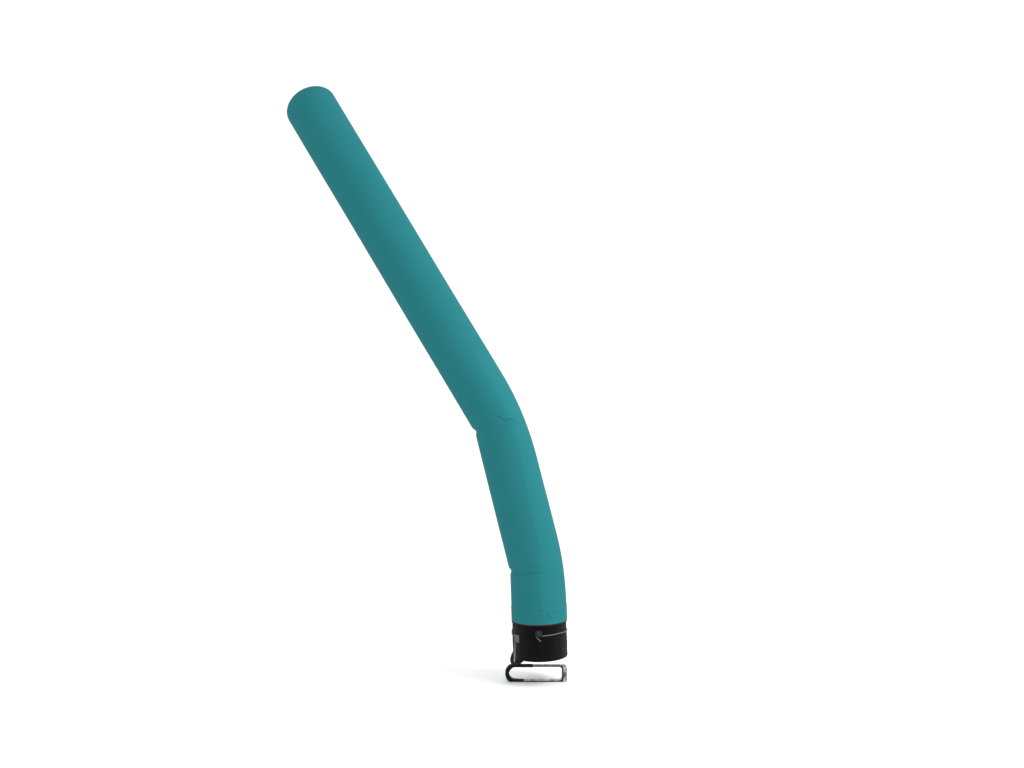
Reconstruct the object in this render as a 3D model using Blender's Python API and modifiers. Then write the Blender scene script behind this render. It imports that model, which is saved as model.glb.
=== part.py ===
"""An inflatable air dancer: one plain cloth tube, blown up and leaning, on a black cuff over a steel stand.

Metres, +Z up. The origin is the middle of the stand's underside, on the floor. The tube leans to -X.
A turn is an angle about the tube in degrees: 0 faces -Y (the front), 90 faces +X, -90 faces -X.
"""

import math

import bmesh
import bpy
from mathutils import Vector

GAP = 0.0003

# The stand: a flat steel band bent into a rounded oblong, standing on its edge
STAND_WIDTH = 0.504
STAND_HEIGHT = 0.1272
STAND_DEPTH = 0.050
BAND_THICK = 0.009
BAND_LEFT_X = -0.2420
BAND_RIGHT_X = 0.2204
LEFT_CORNER = 0.062
LEFT_STEPS = 8
RIGHT_CORNER_OUT = 0.005
RIGHT_CORNER_IN = 0.022
CORNER_STEPS = 4

# The steel block against the band's right end
BLOCK_CORNER = 0.012
BLOCK_FOOT_CORNER = 0.008

# The sleeve on the stand's left end, split along its underside: its wall along the band
SLEEVE_SIDE = 0.003
SLEEVE_TOP = (
    {"x": -0.028, "wall": 0.002},
    {"x": -0.140, "wall": 0.002},
)
SLEEVE_TURNED = (
    {"angle": 90.0, "wall": 0.002},
    {"angle": 150.0, "wall": 0.010},
    {"angle": 220.0, "wall": 0.010},
    {"angle": 270.0, "wall": 0.006},
)
SLEEVE_FOOT = (
    {"x": -0.150, "wall": 0.004},
    {"x": -0.100, "wall": 0.002},
)
FLOOR_CUT = (2.0, 1.0, 0.2)

# The hoop in the cuff's mouth, which rises a little to +X
MOUTH_X = 0.0357
HOOP_ROD = 0.008
HOOP_Z = 0.2130
HOOP_TILT = 1.6

# The cuff, whose top stands a little to the left of its mouth, and the binding that joins it to the tube
CUFF_TOP_X = 0.0268
CUFF_RADIUS = 0.2232
CUFF_CLOTH = 0.002
CUFF_TOP_Z = 0.4815
CUFF_TOP_TILT = 1.3
CUFF_WAVE = 0.0014
CUFF_BULGE = 0.0022
SLACK_Z = 0.340
SLACK_TALL = 0.110
CUFF_COLUMNS = 48
CUFF_ROWS = (0.0, 0.03, 0.10, 0.20, 0.31, 0.42, 0.53, 0.64, 0.72, 0.78, 0.86, 1.0)
BINDING_OUT = 0.2290
BINDING_THICK = 0.0090
BINDING_TALL = 0.0105

# The tube: its hem stands out a little, and is drawn in again where it is sewn to the binding
TUBE_X = 0.0287
TUBE_RADIUS = 0.2285
CLOTH = 0.001
HEM_TALL = 0.125
HEM_STEP = 0.0025
FOOT_TUCK = 0.0030
FOOT_TUCK_TALL = 0.009
DOME_RISE = 0.143
SEAM_GROOVE = 0.003
UNEVEN = 0.0012

# The tube's straight runs from its foot up: length, and lean from upright towards -X
RUNS = (
    {"length": 0.4095, "lean": 2.0},
    {"length": 1.2568, "lean": 14.30},
    {"length": 3.2661, "lean": 31.03},
)

# How far a bend reaches along each run, on its inner and its outer side
BENDS = (
    {"inner": 0.017, "outer": 0.265},
    {"inner": 0.006, "outer": 0.377},
)

# Where the lengthwise seam lies
SEAM = (
    {"along": 0.00, "turn": 8.0},
    {"along": 0.28, "turn": 2.5},
    {"along": 0.70, "turn": 15.0},
    {"along": 1.50, "turn": 22.5},
    {"along": 5.00, "turn": 25.0},
)

# Folds pressed into the tube: place, half of the turn they span, depth and half width
FOLDS = (
    {"along": 1.680, "turn": -90.0, "span": 80.0, "slant": 0.0, "depth": 0.014, "width": 0.045},
    {"along": 1.652, "turn": 21.0, "span": 34.0, "slant": -0.035, "depth": 0.014, "width": 0.018},
    {"along": 1.605, "turn": 34.0, "span": 32.0, "slant": -0.010, "depth": 0.008, "width": 0.014},
    {"along": 1.787, "turn": 24.0, "span": 24.0, "slant": -0.010, "depth": 0.007, "width": 0.016},
    {"along": 1.475, "turn": 28.0, "span": 28.0, "slant": 0.005, "depth": 0.007, "width": 0.016},
    {"along": 0.428, "turn": -80.0, "span": 85.0, "slant": 0.0, "depth": 0.014, "width": 0.040},
    {"along": 0.412, "turn": -8.0, "span": 50.0, "slant": -0.010, "depth": 0.006, "width": 0.020},
)

# Rings of the tube: stretches from the foot up, each cut into equal steps
RINGS = (
    {"to": 0.010, "steps": 1},
    {"to": 0.120, "steps": 2},
    {"to": 0.127, "steps": 1},
    {"to": 0.355, "steps": 2},
    {"to": 0.475, "steps": 6},
    {"to": 1.335, "steps": 4},
    {"to": 1.445, "steps": 2},
    {"to": 1.505, "steps": 4},
    {"to": 1.570, "steps": 2},
    {"to": 1.730, "steps": 9},
    {"to": 1.767, "steps": 1},
    {"to": 1.807, "steps": 2},
    {"to": 1.990, "steps": 3},
    {"to": 2.370, "steps": 2},
    {"to": 4.9339, "steps": 6},
)
TUBE_COLUMNS = 40
DOME_RINGS = 7
OUTER_POWER = 1.5
SEAM_HALF_TURN = 2.0

# The drawstring round the cuff: its height at each turn, from the lock round the right and the back
DRAWSTRING_ROD = 0.004
DRAWSTRING_LIFT = 0.0014
DRAWSTRING_STEP = 5.0
DRAWSTRING = (
    {"turn": 5.2, "z": 0.4070},
    {"turn": 20.0, "z": 0.4058},
    {"turn": 44.0, "z": 0.4105},
    {"turn": 69.0, "z": 0.4120},
    {"turn": 160.0, "z": 0.4130},
    {"turn": 250.0, "z": 0.4110},
    {"turn": 290.5, "z": 0.3770},
)
CINCH = 0.002
CINCH_Z = 0.4115
CINCH_TALL = 0.022

# The cord lock, and the cord's end that hangs below it
LOCK_TURN = -3.4
LOCK_WIDE = 0.060
LOCK_TALL = 0.052
LOCK_DEEP = 0.022
LOCK_BASE_Z = 0.4015
LOCK_ROUNDING = 0.007
CORD_END = (
    {"turn": -6.9, "z": 0.4006},
    {"turn": -6.9, "z": 0.3960},
    {"turn": -5.8, "z": 0.3895},
    {"turn": -3.5, "z": 0.3812},
    {"turn": -1.2, "z": 0.3730},
    {"turn": -0.2, "z": 0.3650},
)

# Cloth pieces sewn on the cuff's left front: the turns of both sides at each height
FACING = 0.002
PATCH = (
    {"z": 0.3380, "left": -66.9, "right": -49.2},
    {"z": 0.3570, "left": -67.4, "right": -49.3},
    {"z": 0.3760, "left": -67.9, "right": -49.3},
    {"z": 0.3945, "left": -68.4, "right": -49.4},
)
TAPE = (
    {"z": 0.1960, "left": -75.9, "right": -68.0},
    {"z": 0.2480, "left": -73.6, "right": -65.6},
    {"z": 0.2900, "left": -70.0, "right": -62.2},
    {"z": 0.3345, "left": -66.8, "right": -59.2},
)
PANEL_STEP = 2.5
TIP_WIDE = 0.022
TIP_TALL = 0.022
TIP_THICK = 0.003
TIP_ROUNDING = 0.001

# The webbing strap that ties the cuff down to the stand's left end
STRAP_WIDE = 0.020
STRAP_THICK = 0.002
STRAP_LIFT = 0.0010
STRAP_ON_CUFF = (
    {"turn": -3.6, "z": 0.3560},
    {"turn": -5.2, "z": 0.3380},
    {"turn": -8.6, "z": 0.3180},
    {"turn": -12.0, "z": 0.3000},
    {"turn": -16.6, "z": 0.2760},
    {"turn": -22.5, "z": 0.2560},
    {"turn": -28.4, "z": 0.2390},
    {"turn": -35.0, "z": 0.2230},
    {"turn": -38.0, "z": 0.2130},
    {"turn": -40.5, "z": 0.2020},
)
STRAP_OFF_CUFF = (
    {"x": -0.1157, "y": -0.1681, "z": 0.1900},
    {"x": -0.1210, "y": -0.1430, "z": 0.1780},
    {"x": -0.1290, "y": -0.1080, "z": 0.1670},
    {"x": -0.1360, "y": -0.0700, "z": 0.1575},
    {"x": -0.1438, "y": -0.0236, "z": 0.1462},
)
STRAP_LEFTWARDS = 0.15
STRAP_UPWARDS = 0.9

# The bracket that holds the hoop over the stand's left end: its foot's right side up to the hoop,
# then how far its riser bows out beyond the cuff
BRACKET_WIDE = 0.040
BRACKET_FOOT = (
    {"x": -0.1850, "z": 0.0},
    {"x": -0.1330, "z": 0.0},
    {"x": -0.1225, "z": 0.0120},
    {"x": -0.1225, "z": 0.0260},
    {"x": -0.1500, "z": 0.0600},
    {"x": -0.1600, "z": 0.0670},
)
BRACKET_BOW = (
    {"z": 0.2330, "out": 0.0030},
    {"z": 0.2227, "out": 0.0078},
    {"z": 0.2067, "out": 0.0160},
    {"z": 0.1907, "out": 0.0209},
    {"z": 0.1748, "out": 0.0251},
    {"z": 0.1589, "out": 0.0234},
    {"z": 0.1429, "out": 0.0176},
    {"z": 0.1345, "out": 0.0100},
)


def start_collections():
    """Clears the scene and adds one collection for the pieces and one for the cutters."""
    for old in list(bpy.data.objects):
        bpy.data.objects.remove(old, do_unlink=True)
    made = []
    for name in ("air_dancer", "cutters"):
        made.append(bpy.data.collections.new(name))
        bpy.context.scene.collection.children.link(made[-1])
    return made


PIECES, CUTTERS = start_collections()


def finish_of(name, colour, roughness, metallic=0.0):
    material = bpy.data.materials.new(name)
    material.use_nodes = True
    shader = material.node_tree.nodes["Principled BSDF"]
    shader.inputs["Base Color"].default_value = (*colour, 1.0)
    shader.inputs["Roughness"].default_value = roughness
    shader.inputs["Metallic"].default_value = metallic
    return material


def add_object(name, data, material, collection=PIECES):
    made = bpy.data.objects.new(name, data)
    if material:
        data.materials.append(material)
    collection.objects.link(made)
    return made


def between(table, key, place, value):
    """The table's value at this place, eased between its rows."""
    rows = list(table)
    if place <= rows[0][key]:
        return rows[0][value]
    for low, high in zip(rows, rows[1:]):
        if place <= high[key]:
            share = (place - low[key]) / (high[key] - low[key])
            share = share * share * (3 - 2 * share)
            return low[value] + (high[value] - low[value]) * share
    return rows[-1][value]


def turn_away(turn, centre):
    """How far this turn is from the centre, from -180 to 180."""
    return (turn - centre + 180.0) % 360.0 - 180.0


def hump(distance, reach):
    """1 at the middle and 0 from the reach outwards, with a soft foot."""
    if abs(distance) >= reach:
        return 0.0
    return math.cos(0.5 * math.pi * distance / reach) ** 2


def loft(name, sections, material, ring=True, apex=None, capped=False):
    """A skin between sections with the same number of points, closed round each section or left open."""
    shape = bmesh.new()
    rows = [[shape.verts.new(point) for point in section] for section in sections]
    count = len(rows[0])
    for low, high in zip(rows, rows[1:]):
        for i in range(count if ring else count - 1):
            j = (i + 1) % count
            shape.faces.new((low[i], low[j], high[j], high[i]))
    if apex:
        tip = shape.verts.new(apex)
        for i in range(count):
            shape.faces.new((rows[-1][i], rows[-1][(i + 1) % count], tip))
    if capped:
        shape.faces.new(reversed(rows[0]))
        shape.faces.new(rows[-1])
    mesh = bpy.data.meshes.new(name)
    shape.to_mesh(mesh)
    shape.free()
    mesh.shade_smooth()
    return add_object(name, mesh, material)


def thicken(piece, thickness, outwards):
    modifier = piece.modifiers.new("thickness", "SOLIDIFY")
    modifier.thickness = thickness
    modifier.offset = 1.0 if outwards else -1.0


def bevel(piece, width, segments):
    modifier = piece.modifiers.new("rounding", "BEVEL")
    modifier.width = width
    modifier.segments = segments


def box(name, size, centre, material, turn=0.0, collection=PIECES):
    shape = bmesh.new()
    bmesh.ops.create_cube(shape, size=1.0)
    bmesh.ops.scale(shape, vec=size, verts=shape.verts)
    mesh = bpy.data.meshes.new(name)
    shape.to_mesh(mesh)
    shape.free()
    made = add_object(name, mesh, material, collection)
    made.location = centre
    made.rotation_euler.z = math.radians(turn)
    return made


def rod(name, points, radius, material, closed=False):
    curve = bpy.data.curves.new(name, "CURVE")
    curve.dimensions = "3D"
    curve.bevel_depth = radius
    curve.bevel_resolution = 2
    curve.use_fill_caps = True
    spline = curve.splines.new("POLY")
    spline.points.add(len(points) - 1)
    for place, point in zip(spline.points, points):
        place.co = (*point, 1.0)
    spline.use_cyclic_u = closed
    return add_object(name, curve, material)


def flat_outline(name, outlines, depth, centre_y, material):
    """A flat shape in the XZ plane, with its holes, as thick as the depth along Y."""
    curve = bpy.data.curves.new(name, "CURVE")
    curve.dimensions = "2D"
    curve.fill_mode = "BOTH"
    curve.extrude = depth / 2
    for outline in outlines:
        spline = curve.splines.new("POLY")
        spline.points.add(len(outline) - 1)
        for place, (x, z) in zip(spline.points, outline):
            place.co = (x, z, 0.0, 1.0)
        spline.use_cyclic_u = True
    made = add_object(name, curve, material)
    made.rotation_euler.x = math.radians(90)
    made.location.y = centre_y
    return made


def arc(centre, radius, start, end, steps):
    """Points on an arc in the XZ plane, with its angles in degrees from +X."""
    angles = [math.radians(start + (end - start) * i / steps) for i in range(steps + 1)]
    return [(centre[0] + radius * math.cos(a), centre[1] + radius * math.sin(a)) for a in angles]


def band_outline(inset, right_corner):
    """The band's outline from the right of its top round the left end, this far inside its outer face."""
    right, top, left = BAND_RIGHT_X - inset, STAND_HEIGHT - inset, BAND_LEFT_X + LEFT_CORNER
    turned = LEFT_CORNER - inset
    return (
        arc((right - right_corner, top - right_corner), right_corner, 0, 90, CORNER_STEPS)
        + arc((left, STAND_HEIGHT - LEFT_CORNER), turned, 90, 180, LEFT_STEPS)
        + arc((left, LEFT_CORNER), turned, 180, 270, LEFT_STEPS)
        + arc((right - right_corner, inset + right_corner), right_corner, 270, 360, CORNER_STEPS)
    )


def build_stand(material):
    outlines = (band_outline(0.0, RIGHT_CORNER_OUT), band_outline(BAND_THICK, RIGHT_CORNER_IN))
    flat_outline("stand_band", outlines, STAND_DEPTH, 0.0, material)


def build_block(material):
    left, right = BAND_RIGHT_X + GAP, STAND_WIDTH / 2
    top, foot = BLOCK_CORNER, BLOCK_FOOT_CORNER
    outline = (
        arc((right - top, STAND_HEIGHT - top), top, 0, 90, CORNER_STEPS)
        + [(left, STAND_HEIGHT), (left, 0.0)]
        + arc((right - foot, foot), foot, 270, 360, CORNER_STEPS)
    )
    flat_outline("end_block", (outline,), STAND_DEPTH, 0.0, material)


def sleeve_stations():
    """Places along the band's middle with the way out of it and the sleeve's wall there."""
    middle = BAND_THICK / 2
    top_z = STAND_HEIGHT - middle
    corner_x = BAND_LEFT_X + LEFT_CORNER
    stations = [(row["x"], top_z, 90.0, row["wall"]) for row in SLEEVE_TOP]
    for centre_z, start in ((STAND_HEIGHT - LEFT_CORNER, 90.0), (LEFT_CORNER, 180.0)):
        turned = arc((corner_x, centre_z), LEFT_CORNER - middle, start, start + 90, LEFT_STEPS)
        for step, (x, z) in enumerate(turned):
            angle = start + 90.0 * step / LEFT_STEPS
            stations.append((x, z, angle, between(SLEEVE_TURNED, "angle", angle, "wall")))
    return stations + [(row["x"], middle, 270.0, row["wall"]) for row in SLEEVE_FOOT]


def build_sleeve(material):
    """A flat sleeve round the band, from its top bar over the left end to its bottom bar."""
    inner_out = BAND_THICK / 2 + GAP
    inner_side = STAND_DEPTH / 2 + GAP
    sections = []
    for x, z, angle, wall in sleeve_stations():
        way = Vector((math.cos(math.radians(angle)), 0.0, math.sin(math.radians(angle))))
        place = Vector((x, 0.0, z))
        section = []
        for out, side in ((inner_out + wall, inner_side + SLEEVE_SIDE), (inner_out, inner_side)):
            corners = ((out, -side), (out, side), (-out, side), (-out, -side))
            section += [place + way * a + Vector((0.0, b, 0.0)) for a, b in corners]
        sections.append(section)
    sleeve = loft_walls("end_sleeve", sections, material)
    floor_cut = box("floor_cut", FLOOR_CUT, (0.0, 0.0, -FLOOR_CUT[2] / 2), None, collection=CUTTERS)
    floor_cut.hide_render = True
    floor_cut.display_type = "WIRE"
    cut = sleeve.modifiers.new("underside", "BOOLEAN")
    cut.object = floor_cut


def loft_walls(name, sections, material):
    """A hollow of four walls: each section is four outer corners, then the four inner ones."""
    shape = bmesh.new()
    rows = [[shape.verts.new(point) for point in section] for section in sections]
    for low, high in zip(rows, rows[1:]):
        for i in range(4):
            j = (i + 1) % 4
            shape.faces.new((low[i], low[j], high[j], high[i]))
            shape.faces.new((low[4 + j], low[4 + i], high[4 + i], high[4 + j]))
    for row, order in ((rows[0], 1), (rows[-1], -1)):
        for i in range(4):
            j = (i + 1) % 4
            shape.faces.new((row[i], row[4 + i], row[4 + j], row[j])[::order])
    bmesh.ops.recalc_face_normals(shape, faces=shape.faces)
    mesh = bpy.data.meshes.new(name)
    shape.to_mesh(mesh)
    shape.free()
    return add_object(name, mesh, material)


def rise(turn, tilt):
    """How much higher the cuff's ring is at this turn than at its middle, tilted this many degrees."""
    return CUFF_RADIUS * math.sin(math.radians(turn)) * math.tan(math.radians(tilt))


def cuff_radius(turn, z):
    """The outside of the cuff: drawn in by the drawstring, a little fuller and wavy below it."""
    angle = math.radians(turn)
    wave = math.cos(5 * angle) * math.cos(3 * angle + z / SLACK_TALL)
    slack = (CUFF_BULGE + CUFF_WAVE * wave) * hump(z - SLACK_Z, SLACK_TALL)
    return CUFF_RADIUS + slack - CINCH * hump(z - CINCH_Z, CINCH_TALL)


def round_cuff(turn, radius, z):
    """A place round the cuff's middle line, which runs from the mouth up to the left."""
    share = min(max((z - HOOP_Z) / (CUFF_TOP_Z - HOOP_Z), 0.0), 1.0)
    angle = math.radians(turn)
    middle_x = MOUTH_X + (CUFF_TOP_X - MOUTH_X) * share
    return Vector((middle_x + radius * math.sin(angle), -radius * math.cos(angle), z))


def build_hoop(material):
    turns = [360.0 * i / CUFF_COLUMNS for i in range(CUFF_COLUMNS)]
    points = [round_cuff(turn, CUFF_RADIUS - HOOP_ROD, HOOP_Z) for turn in turns]
    points = [point + Vector((0, 0, rise(turn, HOOP_TILT))) for turn, point in zip(turns, points)]
    rod("mouth_hoop", points, HOOP_ROD, material, closed=True)


def build_cuff(material):
    sections = []
    for share in CUFF_ROWS:
        section = []
        for i in range(CUFF_COLUMNS):
            turn = 360.0 * i / CUFF_COLUMNS
            low = HOOP_Z + HOOP_ROD + GAP + rise(turn, HOOP_TILT)
            z = low + (CUFF_TOP_Z + rise(turn, CUFF_TOP_TILT) - low) * share
            section.append(round_cuff(turn, cuff_radius(turn, z), z))
        sections.append(section)
    thicken(loft("cuff", sections, material), CUFF_CLOTH, outwards=False)


def build_binding(material):
    """A turned tape ring between the cuff's top edge and the tube's foot."""
    outer, inner, high = BINDING_OUT, BINDING_OUT - BINDING_THICK, BINDING_TALL
    shape = bmesh.new()
    section = ((outer, 0, high), (outer, 0, 0), (inner, 0, 0), (inner, 0, high))
    corners = [shape.verts.new(point) for point in section]
    for i in range(4):
        shape.edges.new((corners[i], corners[(i + 1) % 4]))
    mesh = bpy.data.meshes.new("join_binding")
    shape.to_mesh(mesh)
    shape.free()
    ring = add_object("join_binding", mesh, material)
    ring.location = ((CUFF_TOP_X + TUBE_X) / 2, 0.0, CUFF_TOP_Z + 2 * GAP)
    ring.rotation_euler.y = -math.radians(CUFF_TOP_TILT)
    turned = ring.modifiers.new("turned", "SCREW")
    turned.steps = CUFF_COLUMNS
    turned.render_steps = CUFF_COLUMNS
    turned.use_merge_vertices = True
    turned.merge_threshold = 0.0001


def run_ways():
    """Each run's direction, and the direction across it that faces up and to +X."""
    ways = []
    for run in RUNS:
        lean = math.radians(run["lean"])
        way = Vector((-math.sin(lean), 0, math.cos(lean)))
        across = Vector((math.cos(lean), 0, math.sin(lean)))
        ways.append((way, across))
    return ways


def run_ends():
    """The distance along the tube, and the place on its middle line, where each run ends."""
    foot_z = CUFF_TOP_Z + BINDING_TALL + 4 * GAP
    places = [Vector((TUBE_X, 0, foot_z))]
    along = [0.0]
    for run, (way, _) in zip(RUNS, run_ways()):
        places.append(places[-1] + way * run["length"])
        along.append(along[-1] + run["length"])
    return along, places


ALONG, MIDDLE = run_ends()
WAYS = run_ways()
FOOT_ACROSS = Vector((math.cos(math.radians(CUFF_TOP_TILT)), 0, math.sin(math.radians(CUFF_TOP_TILT))))


def thread_corners(offset):
    """The corners of the lengthwise thread that lies this far across from the middle line."""
    corners = [MIDDLE[0] + FOOT_ACROSS * offset]
    for i, place in enumerate(MIDDLE[1:-1]):
        first, second = WAYS[i][1], WAYS[i + 1][1]
        corners.append(place + (first + second) * (offset / (1 + first.dot(second))))
    corners.append(MIDDLE[-1] + WAYS[-1][1] * offset)
    return corners


def on_straights(along, corners):
    for i, end in enumerate(ALONG[1:]):
        if along <= end or i == len(RUNS) - 1:
            share = (along - ALONG[i]) / (end - ALONG[i])
            return corners[i].lerp(corners[i + 1], share)
    return corners[-1]


def thread_point(along, offset):
    """A place on a lengthwise thread: sharp at a bend on the inner side, and a long curve on the outer."""
    corners = thread_corners(offset)
    outerness = max(0.0, 0.5 * (1 + offset / TUBE_RADIUS)) ** OUTER_POWER
    for i, bend in enumerate(BENDS):
        reach = bend["inner"] + (bend["outer"] - bend["inner"]) * outerness
        past = along - ALONG[i + 1]
        if abs(past) < reach:
            share = (past + reach) / (2 * reach)
            start = on_straights(ALONG[i + 1] - reach, corners)
            end = on_straights(ALONG[i + 1] + reach, corners)
            first = start.lerp(corners[i + 1], share)
            return first.lerp(corners[i + 1].lerp(end, share), share)
    return on_straights(along, corners)


def pressed_in(along, turn):
    """How deep the folds, the seam and the cloth's own unevenness press the tube in here."""
    depth = 0.0
    for fold in FOLDS:
        away = turn_away(turn, fold["turn"])
        line = fold["along"] + fold["slant"] * away / fold["span"]
        depth += fold["depth"] * hump(away, fold["span"]) * hump(along - line, fold["width"])
    if abs(turn_away(turn, between(SEAM, "along", along, "turn"))) < 0.5 * SEAM_HALF_TURN:
        depth += SEAM_GROOVE
    uneven = math.sin(math.radians(3 * turn) + 2 * along) * math.sin(2 * along)
    return depth + UNEVEN * uneven


def tube_point(along, turn):
    radius = TUBE_RADIUS - pressed_in(along, turn)
    if along < HEM_TALL:
        radius += HEM_STEP - FOOT_TUCK * hump(along, FOOT_TUCK_TALL)
    angle = math.radians(turn)
    place = thread_point(along, radius * math.sin(angle))
    return place + Vector((0, -radius * math.cos(angle), 0))


def tube_turns(along):
    """The turns of one ring's points, with three close together at the seam."""
    seam = between(SEAM, "along", along, "turn")
    steps = [0.0, SEAM_HALF_TURN]
    steps += [360.0 * i / TUBE_COLUMNS for i in range(1, TUBE_COLUMNS)]
    steps.append(360.0 - SEAM_HALF_TURN)
    return [seam + step for step in steps]


def ring_places():
    places = [0.0]
    for stretch in RINGS:
        start, steps = places[-1], stretch["steps"]
        places += [start + (stretch["to"] - start) * i / steps for i in range(1, steps + 1)]
    return places


def build_tube(material):
    """The tube's skin: rings along its bent middle line, then a dome, with its foot open."""
    sections = [[tube_point(along, turn) for turn in tube_turns(along)] for along in ring_places()]
    way, across = WAYS[-1]
    end = ALONG[-1]
    for i in range(1, DOME_RINGS + 1):
        upwards = math.radians(90.0 * i / (DOME_RINGS + 1))
        centre = MIDDLE[-1] + way * (DOME_RISE * math.sin(upwards))
        radius = TUBE_RADIUS * math.cos(upwards)
        section = []
        for turn in tube_turns(end):
            angle = math.radians(turn)
            place = centre + across * (radius * math.sin(angle))
            section.append(place - Vector((0, radius * math.cos(angle), 0)))
        sections.append(section)
    apex = MIDDLE[-1] + way * DOME_RISE
    thicken(loft("air_tube", sections, material, apex=apex), CLOTH, outwards=False)


def build_drawstring(material):
    first, last = DRAWSTRING[0]["turn"], DRAWSTRING[-1]["turn"]
    steps = round((last - first) / DRAWSTRING_STEP)
    points = []
    for i in range(steps + 1):
        turn = first + (last - first) * i / steps
        z = between(DRAWSTRING, "turn", turn, "z")
        points.append(round_cuff(turn, cuff_radius(turn, z) + DRAWSTRING_LIFT + DRAWSTRING_ROD, z))
    rod("drawstring", points, DRAWSTRING_ROD, material)


def build_lock(material):
    radius = CUFF_RADIUS + GAP + LOCK_DEEP / 2
    centre = round_cuff(LOCK_TURN, radius, LOCK_BASE_Z + LOCK_TALL / 2)
    lock = box("cord_lock", (LOCK_WIDE, LOCK_DEEP, LOCK_TALL), centre, material, LOCK_TURN)
    bevel(lock, LOCK_ROUNDING, 3)
    lock.data.shade_smooth()


def build_cord_end(material):
    points = []
    for row in CORD_END:
        radius = cuff_radius(row["turn"], row["z"]) + DRAWSTRING_LIFT + DRAWSTRING_ROD
        points.append(round_cuff(row["turn"], radius, row["z"]))
    rod("cord_end", points, DRAWSTRING_ROD, material)


def cuff_panel(name, rows, material):
    """A cloth piece sewn flat on the cuff, between its left and right turns at each height."""
    widest = max(row["right"] - row["left"] for row in rows)
    columns = math.ceil(widest / PANEL_STEP)
    sections = []
    for row in rows:
        section = []
        for i in range(columns + 1):
            turn = row["left"] + (row["right"] - row["left"]) * i / columns
            radius = max(cuff_radius(turn, row["z"]), CUFF_RADIUS) + 2 * GAP
            section.append(round_cuff(turn, radius, row["z"]))
        sections.append(section)
    thicken(loft(name, sections, material, ring=False), FACING, outwards=True)


def build_tip(material):
    """The metal end of the tape, just under it."""
    turn = (TAPE[0]["left"] + TAPE[0]["right"]) / 2
    radius = CUFF_RADIUS + 2 * GAP + TIP_THICK / 2
    centre = round_cuff(turn, radius, TAPE[0]["z"] - GAP - TIP_TALL / 2)
    tip = box("tape_tip", (TIP_WIDE, TIP_THICK, TIP_TALL), centre, material, turn)
    bevel(tip, TIP_ROUNDING, 2)


def build_strap(material):
    """The webbing: flat on the cuff, then straight down to the stand's left end."""
    stations = []
    for row in STRAP_ON_CUFF:
        turn, z = row["turn"], row["z"]
        radius = cuff_radius(turn, z) + STRAP_LIFT + STRAP_THICK / 2
        stations.append((round_cuff(turn, radius, z), round_cuff(turn, 1.0, z) - round_cuff(turn, 0.0, z)))
    for i, row in enumerate(STRAP_OFF_CUFF):
        share = (i + 1) / len(STRAP_OFF_CUFF)
        outwards = Vector((-STRAP_LEFTWARDS * (1 - share), -1.0, STRAP_UPWARDS * share))
        stations.append((Vector((row["x"], row["y"], row["z"])), outwards.normalized()))
    sections = []
    for i, (place, outwards) in enumerate(stations):
        before = stations[max(i - 1, 0)][0]
        after = stations[min(i + 1, len(stations) - 1)][0]
        way = (after - before).normalized()
        across = way.cross(outwards).normalized() * (STRAP_WIDE / 2)
        out = across.cross(way).normalized() * (STRAP_THICK / 2)
        corners = (-across - out, across - out, across + out, out - across)
        sections.append([place + corner for corner in corners])
    strap = loft("hold_down_strap", sections, material, capped=True)
    shape = bmesh.new()
    shape.from_mesh(strap.data)
    bmesh.ops.recalc_face_normals(shape, faces=shape.faces)
    shape.to_mesh(strap.data)
    shape.free()
    strap.data.shade_flat()


def build_bracket(material):
    """A bracket whose foot lies on the sleeve and whose bowed riser stands against the cuff's mouth."""
    foot_z = STAND_HEIGHT + 2 * GAP + SLEEVE_TURNED[0]["wall"]
    top_z = BRACKET_BOW[0]["z"]
    hoop_x = round_cuff(-90.0, CUFF_RADIUS + GAP, HOOP_Z).x
    cuff_x = round_cuff(-90.0, cuff_radius(-90.0, top_z) + GAP, top_z).x
    outline = [(row["x"], foot_z + row["z"]) for row in BRACKET_FOOT]
    outline += [(hoop_x, outline[-1][1]), (hoop_x, HOOP_Z), (cuff_x, top_z)]
    outline += [(cuff_x - row["out"], row["z"]) for row in BRACKET_BOW]
    flat_outline("hoop_bracket", (outline,), BRACKET_WIDE, 0.0, material)


def build_all():
    steel = finish_of("galvanised_steel", (0.55, 0.56, 0.57), 0.35, 1.0)
    dark_steel = finish_of("black_paint", (0.012, 0.012, 0.014), 0.45)
    rubber = finish_of("black_rubber", (0.010, 0.010, 0.011), 0.6)
    teal = finish_of("teal_ripstop", (0.022, 0.205, 0.225), 0.6)
    black = finish_of("black_cloth", (0.011, 0.010, 0.012), 0.75)
    maroon = finish_of("maroon_binding", (0.060, 0.012, 0.020), 0.7)
    grey = finish_of("grey_cord", (0.42, 0.43, 0.45), 0.6)
    patch = finish_of("grey_patch", (0.22, 0.22, 0.23), 0.7)
    pale = finish_of("pale_tape", (0.55, 0.48, 0.49), 0.7)
    plastic = finish_of("black_plastic", (0.010, 0.010, 0.012), 0.35)
    webbing = finish_of("black_webbing", (0.009, 0.009, 0.010), 0.7)
    bright = finish_of("bright_metal", (0.80, 0.80, 0.80), 0.25, 1.0)
    build_stand(steel)
    build_block(steel)
    build_sleeve(rubber)
    build_bracket(dark_steel)
    build_hoop(dark_steel)
    build_cuff(black)
    build_binding(maroon)
    build_tube(teal)
    build_drawstring(grey)
    build_lock(plastic)
    build_cord_end(grey)
    cuff_panel("grey_patch", PATCH, patch)
    cuff_panel("closure_tape", TAPE, pale)
    build_tip(bright)
    build_strap(webbing)


build_all()
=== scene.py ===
"""An inflatable air dancer: a long teal cloth tube on a black cuff, tied over a flat steel stand.

Metres, +Z up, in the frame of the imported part: the origin is the middle of the stand's underside.
A turn is an angle about the tube in degrees: 0 faces the camera (-Y), 90 faces +X, -90 faces -X.
"""

import math
import random

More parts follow.
